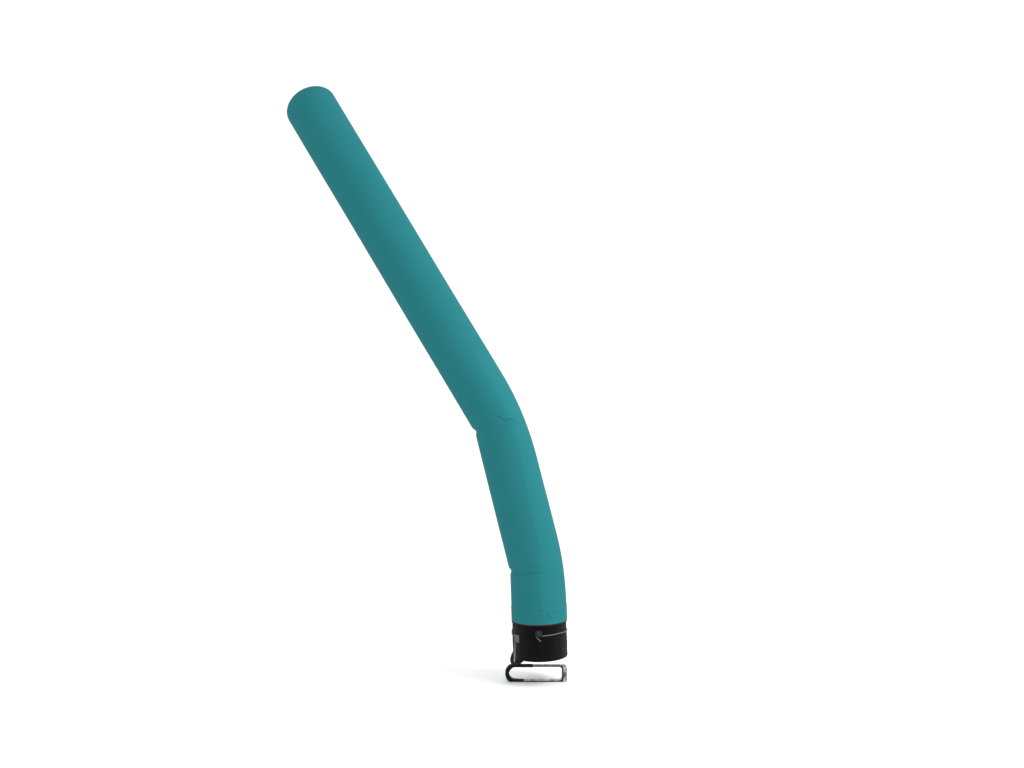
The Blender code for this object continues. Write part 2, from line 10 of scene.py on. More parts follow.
import bmesh
import bpy
import numpy as np
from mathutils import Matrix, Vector


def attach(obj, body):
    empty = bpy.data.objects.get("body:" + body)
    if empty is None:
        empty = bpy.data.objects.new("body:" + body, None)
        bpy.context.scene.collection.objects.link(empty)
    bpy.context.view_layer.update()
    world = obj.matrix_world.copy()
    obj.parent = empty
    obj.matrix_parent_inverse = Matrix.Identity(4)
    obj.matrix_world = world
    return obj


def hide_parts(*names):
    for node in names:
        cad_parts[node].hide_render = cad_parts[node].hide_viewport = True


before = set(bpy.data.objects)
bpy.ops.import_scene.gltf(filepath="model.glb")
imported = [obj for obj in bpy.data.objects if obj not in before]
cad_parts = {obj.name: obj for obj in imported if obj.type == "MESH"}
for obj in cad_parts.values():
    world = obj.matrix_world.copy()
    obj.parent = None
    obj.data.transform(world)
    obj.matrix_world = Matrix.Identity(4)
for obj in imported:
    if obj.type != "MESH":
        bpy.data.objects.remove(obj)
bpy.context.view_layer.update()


def named_rows(columns, *rows):
    """A table whose values are under the columns' names in each row."""
    return [dict(zip(columns.split(), row)) for row in rows]


# The camera, at the photograph's height and angle
CAMERA_PLACE = (-0.1978, -6.4, 1.7732)
CAMERA_PITCH = 6.0474
CAMERA_LENS = 26.4618
CAMERA_SENSOR = 36.0
CAMERA_REACH = 200.0

# The tube's middle line and its bends, as in the solids
TUBE_X = 0.0287
TUBE_RADIUS = 0.2285
TUBE_FOOT_Z = 0.4932
CUFF_TOP_TILT = 1.3
RUNS = named_rows("length lean", (0.4095, 2.0), (1.2568, 14.3), (3.2661, 31.03))
BENDS = named_rows("inner outer", (0.017, 0.265), (0.006, 0.377))
SEAM = named_rows("along turn", (0.0, 8.0), (0.28, 2.5), (0.7, 15.0), (1.5, 22.5), (5.0, 25.0))
DOME_RISE = 0.143
CLOTH = 0.001
DOME_RINGS = 20
HEM_TALL = 0.125
HEM_STEP = 0.0025
HEM_PRESS = 0.0005
HEM_PRESS_WIDE = 0.004
FOOT_TUCK = 0.003
FOOT_TUCK_TALL = 0.009

# Rings of the tube's skin: stretches from the foot up, each cut into equal steps
TUBE_RINGS = named_rows(
    "to steps",
    (0.012, 4), (0.105, 26), (0.135, 8), (0.345, 24), (0.5, 24), (1.25, 34), (1.8, 84),
    (2.4, 28), (4.9339, 42),
)
# Turns from the seam, once round: finer over the front, where the folds are
TUBE_COLUMNS = named_rows("to step", (48.0, 1.5), (288.0, 3.0), (360.0, 1.5))

# Broad folds: place, half of the turn they span, how far one end is higher, depth and half width
FOLDS = named_rows(
    "along turn span slant depth width",
    (1.68, -90.0, 80.0, 0.0, 0.012, 0.045), (1.652, 21.0, 34.0, -0.02, 0.008, 0.022),
    (0.428, -80.0, 85.0, 0.0, 0.012, 0.04), (0.412, -8.0, 50.0, -0.01, 0.004, 0.022),
)

# Sharp creases, each through these turns and places along the tube
CREASES = named_rows(
    "depth width path",
    (0.0064, 0.0075, (
        (-7, 1.752), (2, 1.714), (7, 1.684), (12, 1.652),
        (18, 1.646), (25, 1.644), (35, 1.636), (46, 1.612),
    )),
    (0.006, 0.006, ((2, 1.64), (8, 1.628), (12, 1.604), (20, 1.598), (32, 1.6), (56, 1.606))),
    (0.0032, 0.005, ((5, 1.592), (11, 1.588), (22, 1.586), (34, 1.586), (60, 1.59))),
    (0.0038, 0.0055, ((-6, 1.474), (5, 1.468), (15, 1.472), (28, 1.488), (46, 1.488))),
    (0.0024, 0.005, ((3, 1.454), (14, 1.458), (26, 1.47), (48, 1.474))),
    (0.0034, 0.0055, ((0, 1.802), (28, 1.778), (46, 1.768))),
    (0.0032, 0.0055, ((-1, 1.746), (26, 1.72), (40, 1.711))),
    (0.003, 0.0065, ((-20, 0.815), (-2, 0.812), (16, 0.806), (34, 0.8))),
    (0.0026, 0.006, ((-10, 0.742), (8, 0.748), (26, 0.744))),
    (0.005, 0.0075, (
        (-80, 0.438), (-64, 0.435), (-39, 0.415), (-23, 0.405),
        (-10, 0.405), (7, 0.395), (20, 0.405), (36, 0.36),
    )),
    (0.003, 0.006, ((-46, 0.462), (-20, 0.446), (2, 0.438), (22, 0.446))),
    (0.0056, 0.0055, ((8, 0.104), (14, 0.078), (19, 0.054), (26, 0.036))),
    (0.0038, 0.0055, ((-8, 0.088), (-2, 0.076), (5, 0.058), (11, 0.032))),
    (0.0038, 0.006, ((20, 0.098), (28, 0.088), (37, 0.08), (45, 0.056), (52, 0.044))),
    (0.0044, 0.005, ((-16, 0.128), (-6, 0.118), (2, 0.112), (13, 0.102))),
    (0.0022, 0.005, ((-11, 0.153), (7, 0.146), (14, 0.141))),
    (0.0022, 0.005, ((5, 0.192), (26, 0.18), (34, 0.176))),
)

# The longest puckers across the seam, then where smaller ones start and end
SEAM_PUCKERS = named_rows(
    "along left right depth",
    (2.245, 10.0, 30.0, 0.003), (1.965, 8.0, 32.0, 0.003), (1.885, 6.0, 33.0, 0.003),
    (1.305, 11.0, 51.0, 0.003), (1.115, -1.0, 43.0, 0.003), (0.805, -8.0, 33.0, 0.0035),
)
SEAM_PUCKERS_FROM = 0.2
SEAM_PUCKERS_TO = 4.8
PUCKER_DROP = 0.007
PUCKER_WIDE = 0.0055
PUCKER_SEED = 11
PUCKER_REACH = (5.0, 11.0)
PUCKER_DEPTH = (0.0008, 0.0022)
PUCKER_APART = (0.03, 0.062)
SEAM_PRESS = 0.001
SEAM_HALF_WIDE = 0.006
DOME_GATHER = 0.012
DOME_GATHERS = 18

# Where the cloth is slack and finely wrinkled
WRINKLE_AREAS = named_rows(
    "from_along to_along from_turn to_turn count reach depth",
    (1.3, 1.62, 20.0, 70.0, 44, 12.0, 0.0024), (0.52, 1.3, 16.0, 62.0, 60, 11.0, 0.0018),
    (0.15, 0.5, -20.0, 45.0, 34, 10.0, 0.002), (0.36, 0.48, -110.0, -50.0, 18, 12.0, 0.0022),
    (1.55, 1.8, -120.0, -40.0, 26, 12.0, 0.002), (1.5, 1.8, -179.0, -120.0, 20, 12.0, 0.002),
)
WRINKLE_SEED = 5
WRINKLE_REACH = (0.5, 1.0)
WRINKLE_RISE = (-0.01, 0.014)
WRINKLE_DEPTH = (0.4, 1.0)
WRINKLE_WIDE = (0.0045, 0.0085)
UNEVEN = 0.0012

# The section of a crease: its ridges beside the valley, and how much of its length fades out
RIDGE_TALL = 0.3
RIDGE_AWAY = 2.2
CREASE_FADE = 0.3

# The cuff, its hoop and its cord, as in the solids
MOUTH_X = 0.0357
CUFF_TOP_X = 0.0268
CUFF_RADIUS = 0.2232
HOOP_ROD = 0.008
HOOP_Z = 0.213
HOOP_TILT = 1.6
CUFF_TOP_Z = 0.4815
CUFF_WAVE = 0.0014
CUFF_BULGE = 0.0022
SLACK_Z = 0.34
SLACK_TALL = 0.11
CUFF_ROWS = 64
CUFF_GATHER = 0.0011
CUFF_GATHER_TALL = 0.06
CUFF_PULL = 0.001
PULL_Z = 0.3
PULL_TALL = 0.085
CUFF_STEP = 1.5
CUFF_NEAR_HOOP = 0.045
CUFF_OVER_HOOP = 0.0012
CUFF_FLAT_TALL = 0.27
HEM_ROW = 0.005
HEM_INSIDE = named_rows("up gap", (0.008, 0.016), (0.018, 0.009), (0.03, 0.0045), (0.04, 0.0035))
BINDING_OUT = 0.229
BINDING_BACK = -0.009
BINDING_LIFT = 0.0006
BINDING_RIPPLE = 0.0004
BINDING_SECTION = named_rows(
    "out up",
    (BINDING_BACK, 0.0),
    (-0.001, -0.0002), (0.0004, 0.0012), (0.0006, 0.003), (0.0001, 0.0052), (0.0005, 0.0074),
    (0.0006, 0.0092), (-0.0006, 0.0104), (BINDING_BACK, 0.0104), (BINDING_BACK, 0.0),
)
CINCH = 0.002
CINCH_Z = 0.4115
CINCH_TALL = 0.022
CORD_ROD = 0.004
CORD_PITCH = 0.017
CORD_GAP = 0.0006
STRAND_SIDES = 8
STRAND_OFF = 0.46
STRAND_ROD = 0.6
END_SHARE = 0.02
LEVEL_ENOUGH = 0.05
DRAWSTRING_STEPS = 420
CORD_END_STEPS = 8
DRAWSTRING = named_rows(
    "turn z",
    (3.0, 0.4075), (15.0, 0.411), (28.0, 0.414), (44.0, 0.417), (69.0, 0.415),
    (160.0, 0.413), (250.0, 0.411), (290.5, 0.377),
)
CORD_END = named_rows(
    "turn z",
    (-6.9, 0.403), (-6.9, 0.396), (-5.8, 0.3895), (-3.5, 0.3812), (-1.2, 0.373), (-0.2, 0.365),
)
PATCH = named_rows(
    "z left right",
    (0.338, -66.9, -49.2), (0.357, -67.4, -49.3), (0.376, -67.9, -49.3), (0.3945, -68.4, -49.4),
)
TAPE = named_rows(
    "z left right",
    (0.196, -75.9, -68.0), (0.248, -73.6, -65.6), (0.29, -70.0, -62.2), (0.3345, -66.8, -59.2),
)
PANEL_STEPS = 24
PANEL_EDGE = 0.0006
PANEL_FACE = 0.0016
PANEL_SWELL = 0.0009
PANEL_SLACK = 0.0005
PANEL_RIM = 0.12
PANEL_STITCH = (0.1, 0.16)
STRAP_WIDE = 0.02
STRAP_THICK = 0.002
STRAP_OUT = 0.0022
STRAP_STEPS = 6
STRAP_AHEAD = 0.02
STRAP_FACE_LEFT = 0.15
STRAP_FACE_UP = 0.9
STRAP_SECTION = named_rows(
    "side face",
    *((side, -1.0) for side in (-0.94, -0.5, 0.0, 0.5, 0.94)),
    *((1.0, face) for face in (-0.3, 0.3)),
    *((side, 1.0) for side in (0.94, 0.5, 0.0, -0.5, -0.94)),
    *((-1.0, face) for face in (0.3, -0.3)),
)
STRAP_ON_CUFF = named_rows(
    "turn z",
    (-3.6, 0.356), (-5.2, 0.338), (-8.6, 0.318), (-12.0, 0.3), (-16.6, 0.276),
    (-22.5, 0.256), (-28.4, 0.239), (-35.0, 0.223), (-38.5, 0.213), (-42.5, 0.202),
)
STRAP_OFF_CUFF = named_rows(
    "x y z",
    (-0.1285, -0.161, 0.193), (-0.134, -0.138, 0.183), (-0.1385, -0.105, 0.172), (-0.142, -0.068, 0.16),
    (-0.145, -0.0236, 0.148),
)

TUBE_ROUND = 2 * math.pi * TUBE_RADIUS
BLACK_PAINT = {"roughness": 0.5, "specular": 0.2, "grain": 40.0, "colour": (0.008, 0.008, 0.009)}
BLACK_RUBBER = {"roughness": 0.7, "specular": 0.1, "grain": 30.0, "colour": (0.006, 0.006, 0.0065)}
RIPSTOP_GRID = 0.006
RIPSTOP_THREAD = 0.0006
TEAL_STITCH = 0.004
CUFF_WEAVE = 0.0022

# The stand: the band, the sleeve on its left end and the block against its right end
STAND_HEIGHT = 0.1272
PICKED = 0.001
STAND_DEPTH = 0.05
STAND_RIGHT_X = 0.252
BAND_THICK = 0.009
BAND_LEFT_X = -0.242
BAND_RIGHT_X = 0.2204
LEFT_CORNER = 0.062
RIGHT_CORNER_OUT = 0.005
RIGHT_CORNER_IN = 0.022
BLOCK_CORNER = 0.012
BLOCK_FOOT_CORNER = 0.008
SLEEVE_SIDE = 0.003
SLEEVE_TOP_PLACES = (-0.028, -0.03, -0.1, -0.14)
SLEEVE_FOOT_PLACES = named_rows("x wall", (-0.15, 0.004), (-0.102, 0.002), (-0.1, 0.002))
SLEEVE_CORNER_STEPS = 14
SLEEVE_WALLS = named_rows(
    "angle wall",
    (90.0, 0.003), (126.0, 0.01), (180.0, 0.0115), (234.0, 0.01), (270.0, 0.006),
)

# The bracket: its left and right sides at each height, as the photograph's dark shape
BRACKET_WIDE = 0.04
BRACKET_SIDES = named_rows(
    "z left right",
    (0.13, -0.1975, -0.1335), (0.1418, -0.2055, -0.1225), (0.1558, -0.211, -0.1225),
    (0.1748, -0.2136, -0.13), (0.1898, -0.2098, -0.142), (0.1965, -0.2078, -0.152),
    (0.197, -0.2077, -0.188), (0.2067, -0.2045, -0.188), (0.2227, -0.1963, -0.1887),
    (0.233, -0.1915, -0.189),
)

# The cord lock and the tape's metal tip
LOCK_TURN = -3.4
LOCK_SIZE = (0.06, 0.022, 0.052)
LOCK_BASE_Z = 0.4015
LOCK_RING = 0.012
LOCK_RING_X = 0.008
LOCK_RING_Z = 0.006
LOCK_RING_ROD = 0.002
LOCK_RING_SUNK = 0.001
LOCK_BUTTON = 0.008
LOCK_BUTTON_TALL = 0.003
LOCK_CORNER = 0.016
SEATED = 0.0003
TIP_SIZE = (0.022, 0.003, 0.022)

# The light, the surround and the floor
KEY_POWER = 255.0
KEY_AZIMUTH = 68.0
KEY_ELEVATION = 32.0
KEY_DISTANCE = 6.5
KEY_AIM = (-0.6, 0.0, 2.2)
KEY_SIZE = 3.0
FLOOR_REACH = 30.0
WORLD_STRENGTH = 1.15


class Dye:
    """A socket in a material's nodes, with the arithmetic that a cloth's or a metal's pattern needs."""

    def __init__(self, tree, socket=None):
        self.tree = tree
        self.socket = socket

    def make(self, kind, settings=None, values=None, output=0):
        """Adds a node: its settings first, then its values and links."""
        node = self.tree.nodes.new(kind)
        for name, value in (settings or {}).items():
            setattr(node, name, value)
        for place, value in (values or {}).items():
            if isinstance(value, Dye):
                self.tree.links.new(value.socket, node.inputs[place])
            else:
                node.inputs[place].default_value = value
        return Dye(self.tree, node.outputs[output])

    def math(self, operation, *values):
        return self.make("ShaderNodeMath", {"operation": operation}, dict(enumerate(values)))

    def __add__(self, other):
        return self.math("ADD", self, other)

    __radd__ = __add__

    def __sub__(self, other):
        return self.math("SUBTRACT", self, other)

    def __rsub__(self, other):
        return self.math("SUBTRACT", other, self)

    def __mul__(self, other):
        return self.math("MULTIPLY", self, other)

    __rmul__ = __mul__

    def most(self, other):
        return self.math("MAXIMUM", self, other)

    def axis(self, name):
        return self.make("ShaderNodeSeparateXYZ", None, {0: self}, output=name)

    def size(self):
        return self.math("ABSOLUTE", self)

    def rising(self, low, high):
        """0 below the low value and 1 above the high one, with a soft step between."""
        values = {"Value": self, "From Min": low, "From Max": high}
        return self.make("ShaderNodeMapRange", {"interpolation_type": "SMOOTHSTEP"}, values)

    def falling(self, low, high):
        return 1.0 - self.rising(low, high)

    def lines(self, period, half_wide):
        """1 on soft lines that repeat after each period, and 0 between them."""
        return self.math("PINGPONG", self, period / 2).falling(0.0, half_wide)

    def clouds(self, scale, detail=3.0, stretch=(1.0, 1.0, 1.0)):
        """Soft uneven patches from 0 to 1 over this place."""
        wide = self.make("ShaderNodeMapping", {"vector_type": "TEXTURE"}, {"Vector": self, "Scale": stretch})
        return self.make("ShaderNodeTexNoise", None, {"Vector": wide, "Scale": scale, "Detail": detail})

    def blended(self, first, second, share):
        """From the first colour to the second by the share."""
        first, second = (colour if isinstance(colour, Dye) else (*colour, 1.0) for colour in (first, second))
        values = {0: share, 6: first, 7: second}
        return self.make("ShaderNodeMix", {"data_type": "RGBA"}, values, output=2)


def finish_of(name, specular, sheen=0.0):
    """A material with its unvaried values on the shader, and the place that its patterns read."""
    material = bpy.data.materials.new(name)
    material.use_nodes = True
    shader = material.node_tree.nodes["Principled BSDF"]
    shader.inputs["Specular IOR Level"].default_value = specular
    shader.inputs["Sheen Weight"].default_value = sheen
    return material, Dye(material.node_tree).make("ShaderNodeTexCoord", output="Object")


def finished(material, colour, roughness, normal, metallic=None):
    """Links what varies over the surface to the shader."""
    shader = material.node_tree.nodes["Principled BSDF"]
    varying = {"Base Color": colour, "Roughness": roughness, "Normal": normal, "Metallic": metallic}
    for socket, value in varying.items():
        if isinstance(value, Dye):
            material.node_tree.links.new(value.socket, shader.inputs[socket])
        elif value is not None:
            shader.inputs[socket].default_value = value
    return material


def raised(height, distance, strength):
    return height.make("ShaderNodeBump", None, {"Strength": strength, "Distance": distance, "Height": height})


def on_cloth(place):
    """Across and along on the flat cloth, in metres."""
    flat = place.make("ShaderNodeUVMap", {"uv_map": "cloth"})
    return flat.axis("X"), flat.axis("Y")


def teal_ripstop():
    """Light teal cloth: a fine grid of thicker threads, a stitched lengthwise seam and a stitched hem."""
    material, place = finish_of("teal_ripstop", 0.03)
    across, along = on_cloth(place)
    grid = across.lines(RIPSTOP_GRID, RIPSTOP_THREAD).most(along.lines(RIPSTOP_GRID, RIPSTOP_THREAD))
    colour = place.blended((0.0155, 0.148, 0.163), (0.018, 0.166, 0.182), place.clouds(2.2))
    colour = place.blended(colour, (0.0125, 0.128, 0.142), grid * 0.3)
    near_seam = across.math("PINGPONG", across, TUBE_ROUND / 2)
    stitches = near_seam.lines(0.01, 0.0011) * near_seam.falling(0.006, 0.0075)
    stitches = stitches * along.lines(TEAL_STITCH, 0.0013)
    ridge = near_seam.falling(0.0005, 0.0025)
    hem_stitches = (along - 0.119).size().falling(0.0006, 0.0016) * across.lines(TEAL_STITCH, 0.0013)
    # Painted light: the cloth just right of the seam is lighter, fading out up the tube.
    lit_panel = across.rising(0.0, 0.002) * across.falling(0.08, 0.4)
    lit_panel = lit_panel * along.falling(1.9, 2.5)
    colour = place.blended(colour, (0.02, 0.186, 0.203), lit_panel * 0.4)
    colour = place.blended(colour, (0.009, 0.095, 0.108), ridge * 0.12)
    # Painted highlight: a lighter rim round the tube's foot, the lowest centimetre of cloth just above the
    # binding.
    foot_highlight = along.falling(0.004, 0.009)
    colour = place.blended(colour, (0.024, 0.24, 0.255), foot_highlight * 0.6)
    colour = place.blended(colour, (0.03, 0.23, 0.25), stitches.most(hem_stitches * 0.4) * 0.6)
    relief = grid * 0.35 + place.clouds(22.0, 4.0) * 1.2 + stitches * 0.6 + hem_stitches * 0.6
    roughness = 0.58 + 0.12 * place.clouds(14.0)
    return finished(material, colour, roughness, raised(relief, 0.0006, 0.6))


def black_cuff_cloth():
    """Heavy black cloth with a plain weave and a stitched hem over the hoop."""
    material, place = finish_of("black_cuff_cloth", 0.03, sheen=0.09)
    across, along = on_cloth(place)
    weave = across.lines(CUFF_WEAVE, 0.0009) * 0.5 + along.lines(CUFF_WEAVE, 0.0009) * 0.5
    patches = place.clouds(6.0)
    colour = place.blended((0.0022, 0.0021, 0.0026), (0.0042, 0.0039, 0.0046), patches)
    stitch = (along - 0.022).size().falling(0.0007, 0.0016) * across.lines(0.005, 0.0016)
    colour = place.blended(colour, (0.02, 0.019, 0.021), stitch * 0.8)
    relief = weave * 0.5 + place.clouds(30.0, 4.0) * 1.2 + stitch * 0.6
    return finished(material, colour, 0.74 + 0.14 * patches, raised(relief, 0.0009, 0.7))


def maroon_tape():
    """Dark red bias tape with ribs across it and a stitched line along its middle."""
    material, place = finish_of("maroon_tape", 0.15)
    across, along = on_cloth(place)
    ribs = across.lines(0.0018, 0.0007)
    stitch = (along - 0.0052).size().falling(0.0005, 0.0012) * across.lines(0.0042, 0.0014)
    colour = place.blended((0.038, 0.008, 0.014), (0.025, 0.0055, 0.0095), ribs * 0.6)
    colour = place.blended(colour, (0.09, 0.02, 0.03), stitch * 0.7)
    roughness = 0.68 + 0.14 * place.clouds(30.0)
    return finished(material, colour, roughness, raised(ribs * 0.6 + stitch * 0.5, 0.0005, 0.7))


def grey_cord():
    material, place = finish_of("grey_cord", 0.2)
    fibres = place.clouds(300.0, 2.0)
    colour = place.blended((0.115, 0.114, 0.118), (0.235, 0.23, 0.235), fibres)
    return finished(material, colour, 0.62 + 0.16 * fibres, raised(fibres, 0.0004, 0.6))


def patch_cloth(name, first, second, weave_size, second_below=None):
    """Woven cloth of two near tones, mixed in patches or with the second one below these heights."""
    material, place = finish_of(name, 0.12)
    across, along = on_cloth(place)
    thread = weave_size * 0.4
    weave = across.lines(weave_size, thread) * 0.5 + along.lines(weave_size, thread) * 0.5
    patches = place.clouds(25.0)
    if second_below is not None:
        patches = patches * 0.3 + 0.7 * place.axis("Z").falling(*second_below)
    colour = place.blended(first, second, patches)
    colour = place.blended(colour, [0.6 * part for part in first], weave * 0.35)
    return finished(material, colour, 0.7 + 0.16 * patches, raised(weave, 0.0005, 0.7))


def black_webbing():
    material, place = finish_of("black_webbing", 0.03, sheen=0.06)
    across, along = on_cloth(place)
    rows = along.lines(0.003, 0.0012)
    cords = across.lines(0.004, 0.0016)
    colour = place.blended((0.0026, 0.0025, 0.003), (0.0062, 0.006, 0.0068), rows * cords)
    roughness = 0.68 + 0.14 * place.clouds(40.0)
    return finished(material, colour, roughness, raised(rows * 0.6 + cords * 0.6, 0.0008, 0.8))


def galvanised_steel():
    """Zinc-coated steel: mottled crystals, fine scratches along it, and the band's front and back faces
    darkened as painted shade.
    """
    material, place = finish_of("galvanised_steel", 0.5)
    crystals = place.make("ShaderNodeTexVoronoi", {"feature": "SMOOTH_F1"}, {"Vector": place, "Scale": 48.0})
    patches = place.clouds(18.0, 5.0)
    scratches = place.clouds(30.0, 4.0, stretch=(6.0, 1.0, 0.25))
    mottle = (crystals * 0.5 + patches * 0.6).rising(0.36, 0.64)
    colour = place.blended((0.09, 0.092, 0.098), (0.5, 0.505, 0.51), mottle)
    # Painted shade: the band's front and back faces are darkened to stand for the shade on its front. The
    # block is left out.
    painted_shade_faces = place.axis("Y").size().rising(STAND_DEPTH / 2 - 0.0012, STAND_DEPTH / 2 - 0.0004)
    on_block = place.axis("X").rising(BAND_RIGHT_X - 0.002, BAND_RIGHT_X)
    colour = place.blended(colour, (0.012, 0.012, 0.014), painted_shade_faces * (1.0 - on_block))
    relief = raised(patches + scratches * 0.5, 0.0005, 0.4)
    return finished(material, colour, 0.34 + 0.26 * scratches, relief, metallic=1.0)


def black_finish(name, roughness, specular, grain, colour):
    """Black paint or rubber with its grain and slightly rubbed places."""
    material, place = finish_of(name, specular)
    worn = place.clouds(grain, 4.0)
    rubbed = [2.2 * part for part in colour]
    mixed = place.blended(colour, rubbed, worn.rising(0.45, 0.85))
    relief = raised(place.clouds(grain * 8), 0.0003, 0.4)
    return finished(material, mixed, roughness - 0.08 + 0.16 * worn, relief)


def lock_plastic(ring):
    """Black plastic, with a steel eyelet round this place."""
    material, place = finish_of("lock_plastic", 0.2)
    grain = place.clouds(60.0, 4.0)
    away = place.make("ShaderNodeVectorMath", {"operation": "DISTANCE"}, {0: place, 1: tuple(ring)}, output=1)
    steel = away.rising(LOCK_RING - 0.0025, LOCK_RING - 0.0018)
    steel = steel * away.falling(LOCK_RING + 0.0022, LOCK_RING + 0.0028)
    plastic = place.blended((0.0035, 0.0035, 0.0042), (0.0075, 0.0075, 0.0085), grain)
    colour = place.blended(plastic, (0.09, 0.088, 0.092), steel)
    return finished(material, colour, 0.36 + 0.16 * grain, raised(grain, 0.0003, 0.4), metallic=steel)


def bright_metal():
    material, place = finish_of("bright_metal", 0.5)
    scratches = place.clouds(60.0, 4.0, stretch=(0.2, 1.0, 3.0))
    colour = place.blended((0.34, 0.34, 0.35), (0.55, 0.55, 0.55), scratches)
    relief = raised(scratches, 0.0003, 0.3)
    return finished(material, colour, 0.2 + 0.2 * scratches, relief, metallic=1.0)


def pale_floor():
    material, place = finish_of("pale_floor", 0.05)
    grain = place.clouds(3.0)
    colour = place.blended((0.93, 0.93, 0.93), (0.96, 0.96, 0.96), grain)
    return finished(material, colour, 0.85, None)


def make_floor_and_light():
    """A wide pale floor and one large soft light from the upper right."""
    corners = [(x * FLOOR_REACH, y * FLOOR_REACH, 0) for x, y in ((-1, -1), (1, -1), (1, 1), (-1, 1))]
    mesh = bpy.data.meshes.new("floor")
    mesh.from_pydata(corners, [], [(0, 1, 2, 3)])
    floor = bpy.data.objects.new("floor", mesh)
    bpy.context.scene.collection.objects.link(floor)
    mesh.materials.append(pale_floor())
    key = bpy.data.objects.new("key", bpy.data.lights.new("key", "AREA"))
    key.data.shape = "DISK"
    key.data.size = KEY_SIZE
    key.data.energy = KEY_POWER
    azimuth, height = math.radians(KEY_AZIMUTH), math.radians(KEY_ELEVATION)
    level = math.cos(height)
    way = Vector((math.sin(azimuth) * level, -math.cos(azimuth) * level, math.sin(height)))
    key.location = Vector(KEY_AIM) + way * KEY_DISTANCE
    key.rotation_euler = way.to_track_quat("Z", "Y").to_euler()
    bpy.context.scene.collection.objects.link(key)


def stands_for(made, node, material):
    """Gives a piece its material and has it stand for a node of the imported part."""
    made.data.materials.clear()
    made.data.materials.append(material)
    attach(made, "root")
    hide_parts(node)


def dress_hoop():
    """The hoop keeps its solid: it shows only from below, between the cuff's hem and the channel."""
    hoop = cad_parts["mouth_hoop"]
    hoop.data.materials.clear()
    hoop.data.materials.append(black_finish("hoop_paint", **BLACK_PAINT))


def in_edit(made, rule=None, kind="VERT"):
    """Opens the piece for editing with only the parts selected whose middle fits the rule."""
    if made.mode != "EDIT":
        bpy.ops.object.select_all(action="DESELECT")
        made.select_set(True)
        bpy.context.view_layer.objects.active = made
        bpy.ops.object.mode_set(mode="EDIT")
    bpy.ops.mesh.select_mode(type=kind)
    bpy.ops.mesh.select_all(action="DESELECT")
    shape = bmesh.from_edit_mesh(made.data)
    parts = {"VERT": shape.verts, "EDGE": shape.edges, "FACE": shape.faces}[kind]
    for part in parts:
        corners = [part] if kind == "VERT" else list(part.verts)
        middle = sum((corner.co for corner in corners), Vector()) / len(corners)
        way = corners[-1].co - corners[0].co
        if rule is None or rule(middle, way):
            part.select_set(True)
    shape.select_flush_mode()
    bmesh.update_edit_mesh(made.data)


def shaped_box(name, low, high):
    """A cube primitive brought to these two corners."""
    bpy.ops.mesh.primitive_cube_add(size=1.0)
    made = bpy.context.active_object
    made.name = name
    in_edit(made)
    low, high = Vector(low), Vector(high)
    bpy.ops.transform.resize(value=high - low, center_override=(0, 0, 0))
    bpy.ops.transform.translate(value=(low + high) / 2)
    return made


def rounded_edges(made, width, segments, angle=35.0):
    """Leaves edit mode and rounds every edge that turns more than the angle."""
    bpy.ops.mesh.select_all(action="SELECT")
    bpy.ops.mesh.normals_make_consistent(inside=False)
    bpy.ops.object.mode_set(mode="OBJECT")
    rounding = made.modifiers.new("rounding", "BEVEL")
    rounding.width = width
    rounding.segments = segments
    rounding.limit_method = "ANGLE"
    rounding.angle_limit = math.radians(angle)
    bpy.ops.object.shade_smooth_by_angle(angle=math.radians(angle))


def along_y(middle, way):
    """Picks the edges that run front to back."""
    return abs(way.y) > 0.9 * way.length


def corner_at(x, z):
    """Picks the edge that runs front to back at this place."""
    return lambda middle, way: along_y(middle, way) and math.hypot(middle.x - x, middle.z - z) < PICKED


def flat_at(*places):
    """Picks the faces whose middle is at one of these places from front to back."""
    return lambda middle, way: any(abs(middle.y - y) < PICKED / 100 for y in places)


def sink_faces(made, places, rim, slope, depth):
    """Sinks the flat faces at these places, each inside its rim."""
    in_edit(made, flat_at(*places), "FACE")
    bpy.ops.mesh.inset(thickness=rim, use_even_offset=True)
    bpy.ops.mesh.inset(thickness=slope, depth=-depth, use_even_offset=True)


def round_off(made, rule, radius, segments):
    """Rounds the edges that fit the rule."""
    in_edit(made, rule, "EDGE")
    bpy.ops.mesh.bevel(offset=radius, segments=segments, affect="EDGES")


def make_stand_band(steel):
    """A box with round left corners, hollowed through from both faces, then its right corners rounded."""
    deep = STAND_DEPTH / 2
    band = shaped_box("bent_band", (BAND_LEFT_X, -deep, 0.0), (BAND_RIGHT_X, deep, STAND_HEIGHT))
    for z in (0.0, STAND_HEIGHT):
        round_off(band, corner_at(BAND_LEFT_X, z), LEFT_CORNER, segments=18)
    in_edit(band, flat_at(-deep, deep), "FACE")
    bpy.ops.mesh.inset(thickness=BAND_THICK, use_even_offset=True)
    bpy.ops.mesh.bridge_edge_loops()
    inner_x = BAND_RIGHT_X - BAND_THICK
    for x, z, corner in (
        (inner_x, BAND_THICK, RIGHT_CORNER_IN),
        (inner_x, STAND_HEIGHT - BAND_THICK, RIGHT_CORNER_IN),
        (BAND_RIGHT_X, 0.0, RIGHT_CORNER_OUT),
        (BAND_RIGHT_X, STAND_HEIGHT, RIGHT_CORNER_OUT),
    ):
        round_off(band, corner_at(x, z), corner, segments=6)
    rounded_edges(band, width=0.0011, segments=2)
    stands_for(band, "stand_band", steel)


def make_end_block(steel):
    """The block: two rounded corners, and both faces with a milled rim."""
    deep = STAND_DEPTH / 2
    left_x = BAND_RIGHT_X + SEATED
    block = shaped_box("steel_block", (left_x, -deep, 0.0), (STAND_RIGHT_X, deep, STAND_HEIGHT))
    for z, corner in ((0.0, BLOCK_FOOT_CORNER), (STAND_HEIGHT, BLOCK_CORNER)):
        round_off(block, corner_at(STAND_RIGHT_X, z), corner, segments=8)
    sink_faces(block, (-deep, deep), rim=0.003, slope=0.001, depth=0.001)
    rounded_edges(block, width=0.0008, segments=2)
    stands_for(block, "end_block", steel)


